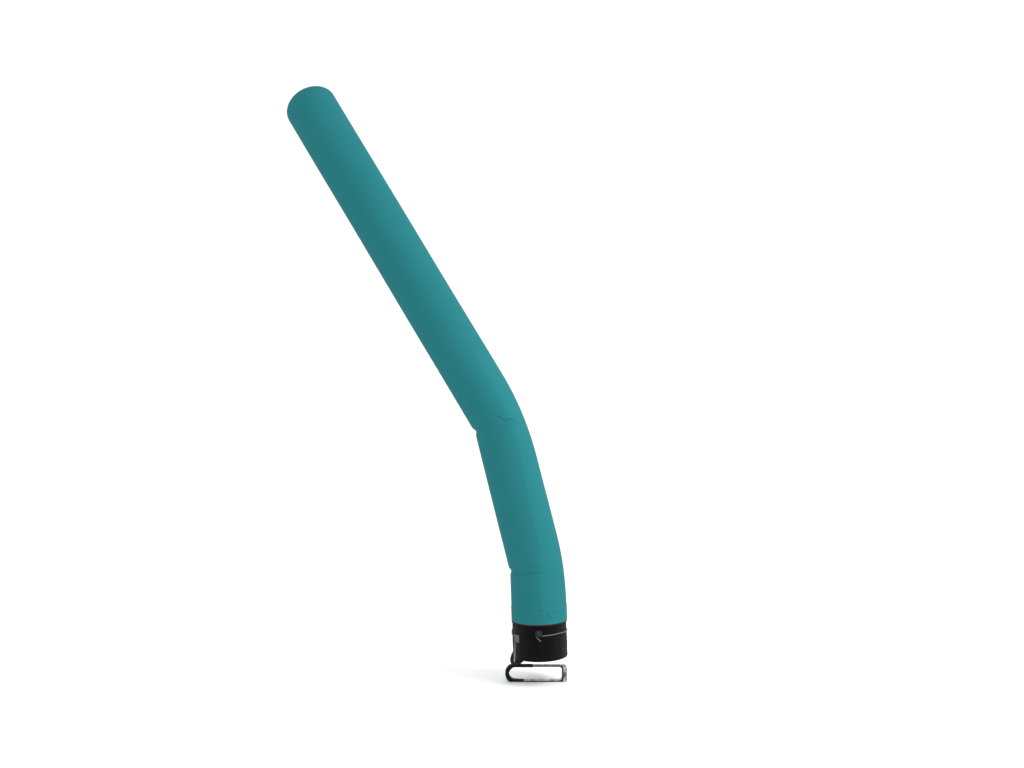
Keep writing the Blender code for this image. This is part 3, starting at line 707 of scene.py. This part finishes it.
def carried_plane(name, turned, wide, sections):
    """A plane primitive carried through the sections: each one's centre, thickness and turn about Y."""
    bpy.ops.mesh.primitive_plane_add(size=1.0, rotation=(0.0, math.radians(turned), 0.0))
    made = bpy.context.active_object
    made.name = name
    bpy.ops.object.transform_apply(location=True, rotation=True, scale=True)
    in_edit(made)
    centre = [Vector((row["x"], 0.0, row["z"])) for row in sections]
    thick = [row["thick"] for row in sections]
    bpy.ops.transform.resize(value=(thick[0], wide, thick[0]), center_override=(0, 0, 0))
    bpy.ops.transform.translate(value=centre[0])
    for i in range(1, len(sections)):
        turn = math.radians(sections[i]["turn"] - sections[i - 1]["turn"])
        wider = thick[i] / thick[i - 1]
        bpy.ops.mesh.extrude_region_move(TRANSFORM_OT_translate={"value": centre[i] - centre[i - 1]})
        bpy.ops.transform.rotate(value=turn, orient_axis="Y", center_override=centre[i])
        bpy.ops.transform.resize(value=(wider, 1.0, wider), center_override=centre[i])
    return made


def sleeve_sections():
    """Sections along the band's middle, as thick as the band and the sleeve's walls there."""
    middle = BAND_THICK / 2
    reach = LEFT_CORNER - middle
    first_wall = SLEEVE_WALLS[0]["wall"]
    places = [(x, STAND_HEIGHT - middle, 90.0, first_wall) for x in SLEEVE_TOP_PLACES]
    for centre_z, start in ((STAND_HEIGHT - LEFT_CORNER, 90.0), (LEFT_CORNER, 180.0)):
        for i in range(SLEEVE_CORNER_STEPS + 1):
            turn = start + 90.0 * i / SLEEVE_CORNER_STEPS
            wall = float(eased(SLEEVE_WALLS, "angle", "wall", turn))
            angle = math.radians(turn)
            x = BAND_LEFT_X + LEFT_CORNER + reach * math.cos(angle)
            places.append((x, centre_z + reach * math.sin(angle), turn, wall))
    places += [(row["x"], middle, 270.0, row["wall"]) for row in SLEEVE_FOOT_PLACES]
    return named_rows("x z turn thick", *((*place, BAND_THICK + 2 * wall) for *place, wall in places))


def make_end_sleeve():
    """Rubber round the band: its section carried from the top bar over the left end to the bottom bar."""
    wide = STAND_DEPTH + 2 * SLEEVE_SIDE
    sleeve = carried_plane("rubber_sleeve", 90, wide, sleeve_sections())
    in_edit(sleeve)
    rest, up = (0.0, 0.0, SEATED), (0.0, 0.0, 1.0)
    bpy.ops.mesh.bisect(plane_co=rest, plane_no=up, use_fill=True, clear_inner=True)
    rounded_edges(sleeve, width=0.0016, segments=3, angle=50.0)
    stands_for(sleeve, "end_sleeve", black_finish("sleeve_rubber", **BLACK_RUBBER))


def make_bracket():
    """The bracket: one section after the other from its foot up to the narrow riser beside the hoop."""
    sides = [(row["left"], row["right"], row["z"]) for row in BRACKET_SIDES]
    sections = [((left + right) / 2, z, 0.0, right - left) for left, right, z in sides]
    bracket = carried_plane("hoop_clamp", 0, BRACKET_WIDE, named_rows("x z turn thick", *sections))
    rounded_edges(bracket, width=0.0012, segments=2, angle=40.0)
    stands_for(bracket, "hoop_bracket", black_finish("bracket_paint", **BLACK_PAINT))


def turn_onto_cuff(turn, out, z):
    """Carries the piece in edit mode, modelled at the origin facing -Y, to its place on the cuff."""
    bpy.ops.mesh.select_all(action="SELECT")
    bpy.ops.transform.rotate(value=-math.radians(turn), orient_axis="Z", center_override=(0, 0, 0))
    bpy.ops.transform.translate(value=Vector(round_cuff(turn, CUFF_RADIUS + out, z)))


def make_cord_lock():
    """The lock's body with a sunk face, and in it a steel eyelet round the button."""
    _, deep, tall = LOCK_SIZE
    lock = shaped_box("lock_body", -Vector(LOCK_SIZE) / 2, Vector(LOCK_SIZE) / 2)
    round_off(lock, along_y, LOCK_CORNER, segments=7)
    sink_faces(lock, [-deep / 2], rim=0.0045, slope=0.0015, depth=0.002)
    facing = (math.radians(90), 0, 0)
    bpy.ops.mesh.primitive_torus_add(
        location=(LOCK_RING_X, LOCK_RING_SUNK - deep / 2, LOCK_RING_Z), rotation=facing,
        major_radius=LOCK_RING, minor_radius=LOCK_RING_ROD, major_segments=32, minor_segments=10,
    )
    bpy.ops.mesh.primitive_cylinder_add(
        location=(LOCK_RING_X, LOCK_BUTTON_TALL / 2 - deep / 2, LOCK_RING_Z), rotation=facing,
        radius=LOCK_BUTTON, depth=LOCK_BUTTON_TALL, vertices=32,
    )
    out, z = deep / 2 + SEATED, LOCK_BASE_Z + tall / 2
    turn_onto_cuff(LOCK_TURN, out, z)
    rounded_edges(lock, width=0.0014, segments=3, angle=50.0)
    turn = math.radians(LOCK_TURN)
    middle = Vector(round_cuff(LOCK_TURN, CUFF_RADIUS + out, z))
    face = Vector((math.sin(turn), -math.cos(turn), 0.0)) * (deep / 2 - LOCK_RING_SUNK)
    side = Vector((math.cos(turn), math.sin(turn), 0.0)) * LOCK_RING_X
    ring = middle + face + side + Vector((0.0, 0.0, LOCK_RING_Z))
    stands_for(lock, "cord_lock", lock_plastic(ring))


def make_tape_tip():
    """The folded metal end of the tape, with a pressed groove across it."""
    _, thick, tall = TIP_SIZE
    tip = shaped_box("metal_tip", -Vector(TIP_SIZE) / 2, Vector(TIP_SIZE) / 2)
    sink_faces(tip, [-thick / 2], rim=0.0028, slope=0.0008, depth=0.0007)
    turn = (TAPE[0]["left"] + TAPE[0]["right"]) / 2
    turn_onto_cuff(turn, thick / 2 + 2 * SEATED, TAPE[0]["z"] - SEATED - tall / 2)
    rounded_edges(tip, width=0.0006, segments=2, angle=50.0)
    stands_for(tip, "tape_tip", bright_metal())


def start_scene():
    """The camera and the white surround."""
    scene = bpy.context.scene
    scene.view_settings.view_transform = "Standard"
    camera = bpy.data.objects.new("camera", bpy.data.cameras.new("camera"))
    camera.location = CAMERA_PLACE
    camera.rotation_euler = (math.radians(90 + CAMERA_PITCH), 0.0, 0.0)
    camera.data.lens = CAMERA_LENS
    camera.data.sensor_width = CAMERA_SENSOR
    camera.data.clip_end = CAMERA_REACH
    scene.collection.objects.link(camera)
    scene.camera = camera
    world = bpy.data.worlds.new("surround")
    world.use_nodes = True
    background = world.node_tree.nodes["Background"]
    background.inputs["Color"].default_value = (1.0, 1.0, 1.0, 1.0)
    background.inputs["Strength"].default_value = WORLD_STRENGTH
    scene.world = world


def eased(table, key, value, place):
    """The table's value at each place, eased between its rows."""
    places = np.array([row[key] for row in table])
    values = np.array([row[value] for row in table])
    low = np.clip(np.searchsorted(places, place, side="right") - 1, 0, len(places) - 2)
    share = np.clip((place - places[low]) / (places[low + 1] - places[low]), 0.0, 1.0)
    return values[low] + (values[low + 1] - values[low]) * share * share * (3 - 2 * share)


def turn_away(turn, centre):
    """How far a turn is from the centre, from -180 to 180."""
    return (turn - centre + 180.0) % 360.0 - 180.0


def hump(distance, reach):
    """1 at the middle and 0 from the reach outwards, with a soft foot."""
    share = np.clip(np.abs(distance) / reach, 0.0, 1.0)
    return np.cos(0.5 * np.pi * share) ** 2


def middle_line():
    """Where the runs end: along the tube, on its middle line, and the way across it that faces +X."""
    tilt = math.radians(CUFF_TOP_TILT)
    along, ends = [0.0], [np.array((TUBE_X, TUBE_FOOT_Z))]
    sides = []
    for run in RUNS:
        lean = math.radians(run["lean"])
        sides.append(np.array((math.cos(lean), math.sin(lean))))
        along.append(along[-1] + run["length"])
        ends.append(ends[-1] + run["length"] * np.array((-math.sin(lean), math.cos(lean))))
    across = [np.array((math.cos(tilt), math.sin(tilt)))]
    for first, second in zip(sides, sides[1:]):
        across.append((first + second) / (1 + first @ second))
    across.append(sides[-1])
    return np.array(along), np.array(ends), np.array(across)


ALONG, MIDDLE, ACROSS = middle_line()


def on_straights(along, offset):
    """X and Z on the lengthwise thread that lies this far across, with sharp corners."""
    middle = [np.interp(along, ALONG, MIDDLE[:, k]) for k in (0, 1)]
    across = [np.interp(along, ALONG, ACROSS[:, k]) for k in (0, 1)]
    return [m + a * offset for m, a in zip(middle, across)]


def thread_place(along, offset):
    """X and Z on a lengthwise thread: sharp at a bend on its inner side, a long curve on its outer side."""
    place = on_straights(along, offset)
    outerness = np.clip(0.5 * (1 + offset / TUBE_RADIUS), 0.0, None) ** 1.5
    for bend, corner in zip(BENDS, ALONG[1:]):
        reach = bend["inner"] + (bend["outer"] - bend["inner"]) * outerness
        share = (along - corner + reach) / (2 * reach)
        start = on_straights(corner - reach, offset)
        peak = on_straights(corner, offset)
        end = on_straights(corner + reach, offset)
        for k in (0, 1):
            curve = start[k] * (1 - share) ** 2 + 2 * peak[k] * share * (1 - share) + end[k] * share**2
            place[k] = np.where((share > 0) & (share < 1), curve, place[k])
    return place


def thin_crease(away, width):
    """The section of a thin fold: a narrow valley between two low ridges."""
    across = np.abs(away / width)
    return np.exp(-(across**2)) - RIDGE_TALL * np.exp(-((across - RIDGE_AWAY) ** 2))


def creased(along, turn, crease):
    """How deep one crease, a line through its path's turns and heights, presses the cloth in."""
    turns = [point[0] for point in crease["path"]]
    heights = [point[1] for point in crease["path"]]
    middle = 0.5 * (turns[0] + turns[-1])
    away = turn_away(turn, middle) + middle
    line = np.interp(away, turns, heights)
    fade = CREASE_FADE * (turns[-1] - turns[0])
    ends = np.clip(np.minimum(away - turns[0], turns[-1] - away) / fade, 0.0, 1.0)
    return crease["depth"] * ends * ends * (3 - 2 * ends) * thin_crease(along - line, crease["width"])


def seam_puckers():
    """The short puckers across the lengthwise seam, each a little higher at its left end."""
    seeded = random.Random(PUCKER_SEED)
    rows = list(SEAM_PUCKERS)
    place = SEAM_PUCKERS_FROM
    while place < SEAM_PUCKERS_TO:
        seam = eased(SEAM, "along", "turn", place)
        reach = seeded.uniform(*PUCKER_REACH)
        depth = seeded.uniform(*PUCKER_DEPTH)
        rows.append({"along": place, "left": seam - reach, "right": seam + reach, "depth": depth})
        place += seeded.uniform(*PUCKER_APART)
    creases = []
    for row in rows:
        path = ((row["left"], row["along"] + PUCKER_DROP), (row["right"], row["along"] - PUCKER_DROP / 2))
        creases.append({"depth": row["depth"], "width": PUCKER_WIDE, "path": path})
    return creases


def small_wrinkles():
    """Fine wrinkles, nearly level, where the bent tube's cloth is slack."""
    seeded = random.Random(WRINKLE_SEED)
    creases = []
    for area in WRINKLE_AREAS:
        for _ in range(area["count"]):
            along = seeded.uniform(area["from_along"], area["to_along"])
            turn = seeded.uniform(area["from_turn"], area["to_turn"])
            reach = seeded.uniform(*WRINKLE_REACH) * area["reach"]
            rise = seeded.uniform(*WRINKLE_RISE)
            path = ((turn - reach, along - rise), (turn + reach, along + rise))
            depth = area["depth"] * seeded.uniform(*WRINKLE_DEPTH)
            creases.append({"depth": depth, "width": seeded.uniform(*WRINKLE_WIDE), "path": path})
    return creases


def pressed_in(along, turn, from_seam):
    """How deep the folds, creases, seam and unevenness press the tube in."""
    depth = UNEVEN * np.sin(np.radians(3 * turn) + 2.1 * along) * np.sin(1.7 * along)
    for fold in FOLDS:
        away = turn_away(turn, fold["turn"])
        line = fold["along"] + fold["slant"] * away / fold["span"]
        depth += fold["depth"] * hump(away, fold["span"]) * hump(along - line, fold["width"])
    for crease in [*CREASES, *seam_puckers(), *small_wrinkles()]:
        heights = [point[1] for point in crease["path"]]
        near = 4 * crease["width"]
        rows = (along[:, 0] > min(heights) - near) & (along[:, 0] < max(heights) + near)
        depth[rows] += creased(along[rows], turn[rows], crease)
    from_line = TUBE_RADIUS * np.radians(turn_away(from_seam, 0.0))
    depth += SEAM_PRESS * np.exp(-((from_line / SEAM_HALF_WIDE) ** 2))
    hem = np.where(along < HEM_TALL, HEM_STEP - FOOT_TUCK * hump(along, FOOT_TUCK_TALL), 0.0)
    return depth - hem + HEM_PRESS * thin_crease(along - HEM_TALL, HEM_PRESS_WIDE)


def steps_to(table, key):
    """Places from 0 up through the table's stretches."""
    places = [0.0]
    for stretch in table:
        start = places[-1]
        steps = stretch["steps"] if "steps" in stretch else round((stretch["to"] - start) / stretch[key])
        places += [start + (stretch["to"] - start) * i / steps for i in range(1, steps + 1)]
    return places


def cloth_piece(name, rows, places, ring=True, apex=None):
    """A skin over rows of points, with each point's place on the flat cloth as its UV, in metres."""
    count = len(rows[0])
    points = [tuple(point) for row in rows for point in row]
    faces, flat = [], []
    for k in range(len(rows) - 1):
        for i in range(count if ring else count - 1):
            j = (i + 1) % count
            low, high = k * count, (k + 1) * count
            faces.append((low + i, low + j, high + j, high + i))
            flat += [*places[k][i], *places[k][i + 1], *places[k + 1][i + 1], *places[k + 1][i]]
    if apex is not None:
        last = (len(rows) - 1) * count
        points.append(tuple(apex))
        for i in range(count):
            faces.append((last + i, last + (i + 1) % count, len(points) - 1))
            flat += [*places[-1][i], *places[-1][i + 1], places[-1][i][0], places[-1][i][1] + 0.01]
    mesh = bpy.data.meshes.new(name)
    mesh.from_pydata(points, [], faces)
    mesh.uv_layers.new(name="cloth").data.foreach_set("uv", flat)
    mesh.shade_smooth()
    mesh.validate()
    made = bpy.data.objects.new(name, mesh)
    bpy.context.scene.collection.objects.link(made)
    return made


def flat_places(turns, heights):
    """Each ring's places on the flat cloth: the way round, at the tube's radius, and the height."""
    wide = [math.radians(turn) * TUBE_RADIUS for turn in [*turns, 360.0]]
    return [[(across, height) for across in wide] for height in heights]


def make_dancer_tube():
    """The tube's skin from its foot over the bends, and the dome on top, as thick as the cloth."""
    rings = np.array(steps_to(TUBE_RINGS, "step"))[:, None]
    from_seam = np.array(steps_to(TUBE_COLUMNS, "step")[:-1])[None, :] + 0.0 * rings
    turn = from_seam + eased(SEAM, "along", "turn", rings)
    radius = TUBE_RADIUS - pressed_in(rings, turn, from_seam)
    angle = np.radians(turn)
    x, z = thread_place(rings, radius * np.sin(angle))
    rows, heights = list(np.stack((x, -radius * np.cos(angle), z), axis=-1)), list(rings[:, 0])
    lean = math.radians(RUNS[-1]["lean"])
    up = np.array((-math.sin(lean), 0.0, math.cos(lean)))
    side = np.array((math.cos(lean), 0.0, math.sin(lean)))
    end = np.array((MIDDLE[-1][0], 0.0, MIDDLE[-1][1]))
    last = angle[-1][:, None]
    ring = side * np.sin(last) - np.array((0.0, 1.0, 0.0)) * np.cos(last)
    gathers = 0.5 + 0.5 * np.cos(DOME_GATHERS * last + 0.6 * np.sin(5 * last))
    for i in range(1, DOME_RINGS + 1):
        rise = math.radians(90.0 * i / (DOME_RINGS + 0.5))
        gather = 1 - DOME_GATHER * math.sin(2 * rise) ** 2 * gathers
        rows.append(end + up * DOME_RISE * math.sin(rise) + ring * TUBE_RADIUS * math.cos(rise) * gather)
        heights.append(ALONG[-1] + TUBE_RADIUS * rise)
    tube = cloth_piece("dancer_tube", rows, flat_places(from_seam[0], heights), apex=end + up * DOME_RISE)
    thickness = tube.modifiers.new("thickness", "SOLIDIFY")
    thickness.thickness = CLOTH
    thickness.offset = -1.0
    stands_for(tube, "air_tube", teal_ripstop())


def raised_by(turn, tilt):
    """How much higher the cuff's ring is at this turn than at its middle, tilted this many degrees."""
    return CUFF_RADIUS * np.sin(np.radians(turn)) * math.tan(math.radians(tilt))


def round_cuff(turn, radius, z):
    """A place round the cuff's middle line, which runs from the mouth up to the left."""
    share = np.clip((z - HOOP_Z) / (CUFF_TOP_Z - HOOP_Z), 0.0, 1.0)
    angle = np.radians(turn)
    middle_x = MOUTH_X + (CUFF_TOP_X - MOUTH_X) * share
    return np.array((middle_x + radius * np.sin(angle), -radius * np.cos(angle), z + 0.0 * angle))


def cuff_radius(turn, z):
    """The outside of the cuff: gathered by the drawstring, with slack waves below it."""
    angle = np.radians(turn)
    wave = np.cos(5 * angle) * np.cos(3 * angle + z / SLACK_TALL)
    gather = np.cos(47 * angle + 1.3 * np.sin(6 * angle)) * (0.7 + 0.3 * np.cos(9 * angle))
    fine = CUFF_GATHER * gather * hump(z - CINCH_Z, CUFF_GATHER_TALL)
    pull = np.cos(21 * angle + 2.0 * np.sin(3 * angle) + 14 * (z - PULL_Z))
    pull = CUFF_PULL * pull * hump(z - PULL_Z, PULL_TALL)
    slack = (CUFF_BULGE + CUFF_WAVE * wave) * hump(z - SLACK_Z, SLACK_TALL)
    return CUFF_RADIUS + slack + pull + fine - CINCH * hump(z - CINCH_Z, CINCH_TALL)


def make_cuff():
    """The black cuff: from its top edge down, round the hoop and up inside as a stitched hem."""
    turns = np.arange(0.0, 360.0, CUFF_STEP)
    foot = HOOP_Z + raised_by(turns, HOOP_TILT)
    top = CUFF_TOP_Z + raised_by(turns, CUFF_TOP_TILT)
    rows, heights = [], []
    for i in range(CUFF_ROWS + 1):
        share = i / CUFF_ROWS
        z = foot + (top - foot) * share
        near_hoop = hump(z - foot, CUFF_NEAR_HOOP)
        radius = cuff_radius(turns, z) * (1 - near_hoop) + (CUFF_RADIUS + CUFF_OVER_HOOP) * near_hoop
        rows.append(round_cuff(turns, radius, z).T)
        heights.append(CUFF_FLAT_TALL * share)
    channel = HOOP_ROD + CUFF_OVER_HOOP
    under = []
    for i in range(1, 10):
        angle = math.radians(20.0 * i)
        under.append((CUFF_RADIUS - HOOP_ROD + channel * math.cos(angle), foot - channel * math.sin(angle)))
    under += [(CUFF_RADIUS - row["gap"], foot + row["up"]) for row in HEM_INSIDE]
    for i, (radius, z) in enumerate(under):
        rows.insert(0, round_cuff(turns, radius, z).T)
        heights.insert(0, -HEM_ROW * (i + 1))
    cuff = cloth_piece("tube_cuff", rows, flat_places(turns, heights))
    stands_for(cuff, "cuff", black_cuff_cloth())


def make_join_ring():
    """The maroon tape bound over the join of cuff and tube, with a rolled edge above and below."""
    turns = np.arange(0.0, 360.0, CUFF_STEP)
    angle = np.radians(turns)
    tilt = math.radians(CUFF_TOP_TILT)
    ripple = BINDING_RIPPLE * np.cos(61 * angle + 2 * np.sin(7 * angle))
    rows = []
    for row in BINDING_SECTION:
        up = row["up"]
        radius = BINDING_OUT + row["out"] + ripple * (row["out"] > BINDING_BACK)
        flat_x = radius * np.sin(angle)
        x = (CUFF_TOP_X + TUBE_X) / 2 + flat_x * math.cos(tilt) - up * math.sin(tilt)
        z = CUFF_TOP_Z + BINDING_LIFT + flat_x * math.sin(tilt) + up * math.cos(tilt)
        rows.append(np.stack((x, -radius * np.cos(angle), z), axis=-1))
    ring = cloth_piece("join_ring", rows, flat_places(turns, [row["up"] for row in BINDING_SECTION]))
    stands_for(ring, "join_binding", maroon_tape())


def in_curve(before, first, second, after, share):
    """A place on the smooth curve from the first point to the second."""
    a, b = (second - before) * 0.5, (after - first) * 0.5
    s2, s3 = share**2, share**3
    ends = first * (2 * s3 - 3 * s2 + 1) + second * (3 * s2 - 2 * s3)
    return ends + a * (s3 - 2 * s2 + share) + b * (s3 - s2)


def neighbours(stations, i):
    """The four stations that shape the curve from this one to the next."""
    return stations[max(i - 1, 0)], stations[i], stations[i + 1], stations[min(i + 2, len(stations) - 1)]


def drawn_together(row):
    """A copy of a section, drawn almost to a point, which closes the end."""
    middle = sum(row, Vector()) / len(row)
    return [middle + (point - middle) * END_SHARE for point in row]


def laid_strands(name, path):
    """A cord along the path's points, of two strands that are laid round each other."""
    points = [Vector(point) for point in path]
    rows_of = ([], [])
    travelled = 0.0
    for i, point in enumerate(points):
        before, after = points[max(i - 1, 0)], points[min(i + 1, len(points) - 1)]
        way = (after - before).normalized()
        side = way.cross(Vector((0.0, 0.0, 1.0)))
        side = side.normalized() if side.length > LEVEL_ENOUGH else Vector((1.0, 0.0, 0.0))
        up = side.cross(way)
        travelled += (point - before).length
        for strand, rows in enumerate(rows_of):
            twist = 2 * math.pi * travelled / CORD_PITCH + math.pi * strand
            middle = point + (side * math.cos(twist) + up * math.sin(twist)) * (STRAND_OFF * CORD_ROD)
            angles = [2 * math.pi * k / STRAND_SIDES for k in range(STRAND_SIDES)]
            ring = [side * math.cos(angle) + up * math.sin(angle) for angle in angles]
            rows.append([middle + way_out * (STRAND_ROD * CORD_ROD) for way_out in ring])
    strands = []
    for strand, rows in enumerate(rows_of):
        rows = [drawn_together(rows[0]), *rows, drawn_together(rows[-1])]
        places = [[(0.001 * k, 0.001 * i) for k in range(STRAND_SIDES + 1)] for i in range(len(rows))]
        strands.append(cloth_piece(f"{name}_strand_{strand}", rows, places))
    bpy.ops.object.select_all(action="DESELECT")
    for strand in strands:
        strand.select_set(True)
    bpy.context.view_layer.objects.active = strands[0]
    bpy.ops.object.join()
    cord = bpy.context.view_layer.objects.active
    cord.name = name
    return cord


def on_cord(turn, z):
    """The cord's middle where it lies against the cuff."""
    return round_cuff(turn, cuff_radius(turn, z) + CORD_ROD + CORD_GAP, z).T


def make_drawstring():
    first, last = DRAWSTRING[0]["turn"], DRAWSTRING[-1]["turn"]
    turns = first + (last - first) * np.arange(DRAWSTRING_STEPS + 1) / DRAWSTRING_STEPS
    cord = laid_strands("cuff_cord", on_cord(turns, eased(DRAWSTRING, "turn", "z", turns)))
    stands_for(cord, "drawstring", grey_cord())


def make_cord_end():
    points = [Vector(on_cord(row["turn"], row["z"])) for row in CORD_END]
    path = []
    for i in range(len(points) - 1):
        path += [in_curve(*neighbours(points, i), k / CORD_END_STEPS) for k in range(CORD_END_STEPS)]
    cord = laid_strands("cord_tail", [*path, points[-1]])
    stands_for(cord, "cord_end", grey_cord())


def make_panel(name, table, node, material):
    """A cloth piece sewn on the cuff, its edges turned in and its face a little slack."""
    low, high = table[0]["z"], table[-1]["z"]
    shares = [min(max(i / PANEL_STEPS, 0.0), 1.0) for i in range(-1, PANEL_STEPS + 2)]
    outermost = (0, len(shares) - 1)
    rows, places = [], []
    for i, share in enumerate(shares):
        z = low + (high - low) * share
        left, right = (eased(table, "z", key, z) for key in ("left", "right"))
        row, place = [], []
        for k, across in enumerate(shares):
            turn = left + (right - left) * across
            rim = min(share, 1 - share, across, 1 - across)
            lift = PANEL_FACE + PANEL_SWELL * min(rim / PANEL_RIM, 1.0)
            lift -= PANEL_SLACK * (PANEL_STITCH[0] < rim < PANEL_STITCH[1])
            lift += PANEL_SLACK * math.sin(9 * share + 5 * across)
            if i in outermost or k in outermost:
                lift = PANEL_EDGE
            row.append(round_cuff(turn, max(float(cuff_radius(turn, z)), CUFF_RADIUS) + lift, z))
            place.append((math.radians(turn) * CUFF_RADIUS, z))
        rows.append(row)
        places.append(place)
    panel = cloth_piece(name, rows, places, ring=False)
    stands_for(panel, node, material)
    wide = math.radians(table[-1]["right"] - table[-1]["left"]) * CUFF_RADIUS
    high - low


def strap_stations():
    """Places down the strap's middle, each with the way its face looks."""
    stations = []
    for row in STRAP_ON_CUFF:
        turn, z = row["turn"], row["z"]
        angle = math.radians(turn)
        place = Vector(round_cuff(turn, float(cuff_radius(turn, z)) + STRAP_OUT, z))
        stations.append((place, Vector((math.sin(angle), -math.cos(angle), 0.0))))
    for i, row in enumerate(STRAP_OFF_CUFF):
        share = (i + 1) / len(STRAP_OFF_CUFF)
        out = Vector((-STRAP_FACE_LEFT * (1 - share), -1.0, STRAP_FACE_UP * share)).normalized()
        stations.append((Vector((row["x"], row["y"], row["z"])), out))
    return stations


def make_strap():
    """The webbing: flat on the cuff, then down below the hoop to the bracket."""
    stations = strap_stations()
    rows, places, travelled = [], [], 0.0
    for i in range(len(stations) - 1):
        curve = [station[0] for station in neighbours(stations, i)]
        for k in range(STRAP_STEPS if i < len(stations) - 2 else STRAP_STEPS + 1):
            share = k / STRAP_STEPS
            place = in_curve(*curve, share)
            way = (in_curve(*curve, share + STRAP_AHEAD) - place).normalized()
            across = way.cross(stations[i][1].lerp(stations[i + 1][1], share)).normalized()
            out = across.cross(way).normalized() * (STRAP_THICK / 2)
            across = across * (STRAP_WIDE / 2)
            rows.append([place + across * row["side"] + out * row["face"] for row in STRAP_SECTION])
            travelled += (rows[-1][0] - rows[-2][0]).length if len(rows) > 1 else 0.0
            flat = [(row["side"] * STRAP_WIDE / 2, travelled) for row in STRAP_SECTION]
            places.append([*flat, flat[0]])
    rows = [drawn_together(rows[0]), *rows, drawn_together(rows[-1])]
    strap = cloth_piece("cuff_strap", rows, [places[0], *places, places[-1]])
    stands_for(strap, "hold_down_strap", black_webbing())


start_scene()
make_floor_and_light()
dress_hoop()
STEEL = galvanised_steel()
make_stand_band(STEEL)
make_end_block(STEEL)
make_end_sleeve()
make_bracket()
make_cord_lock()
make_tape_tip()
make_join_ring()
make_dancer_tube()
make_cuff()
make_drawstring()
make_cord_end()
PATCH_CLOTH = patch_cloth("patch_cloth", (0.1, 0.1, 0.104), (0.135, 0.132, 0.138), 0.0016)
make_panel("bare_patch", PATCH, "grey_patch", PATCH_CLOTH)
# The tape is dark above and pale pink below the given heights.
TAPE_TONES = ((0.085, 0.062, 0.068), (0.34, 0.21, 0.23))
TAPE_CLOTH = patch_cloth("tape_cloth", *TAPE_TONES, 0.0014, second_below=(0.225, 0.3))
make_panel("hook_tape", TAPE, "closure_tape", TAPE_CLOTH)
make_strap()
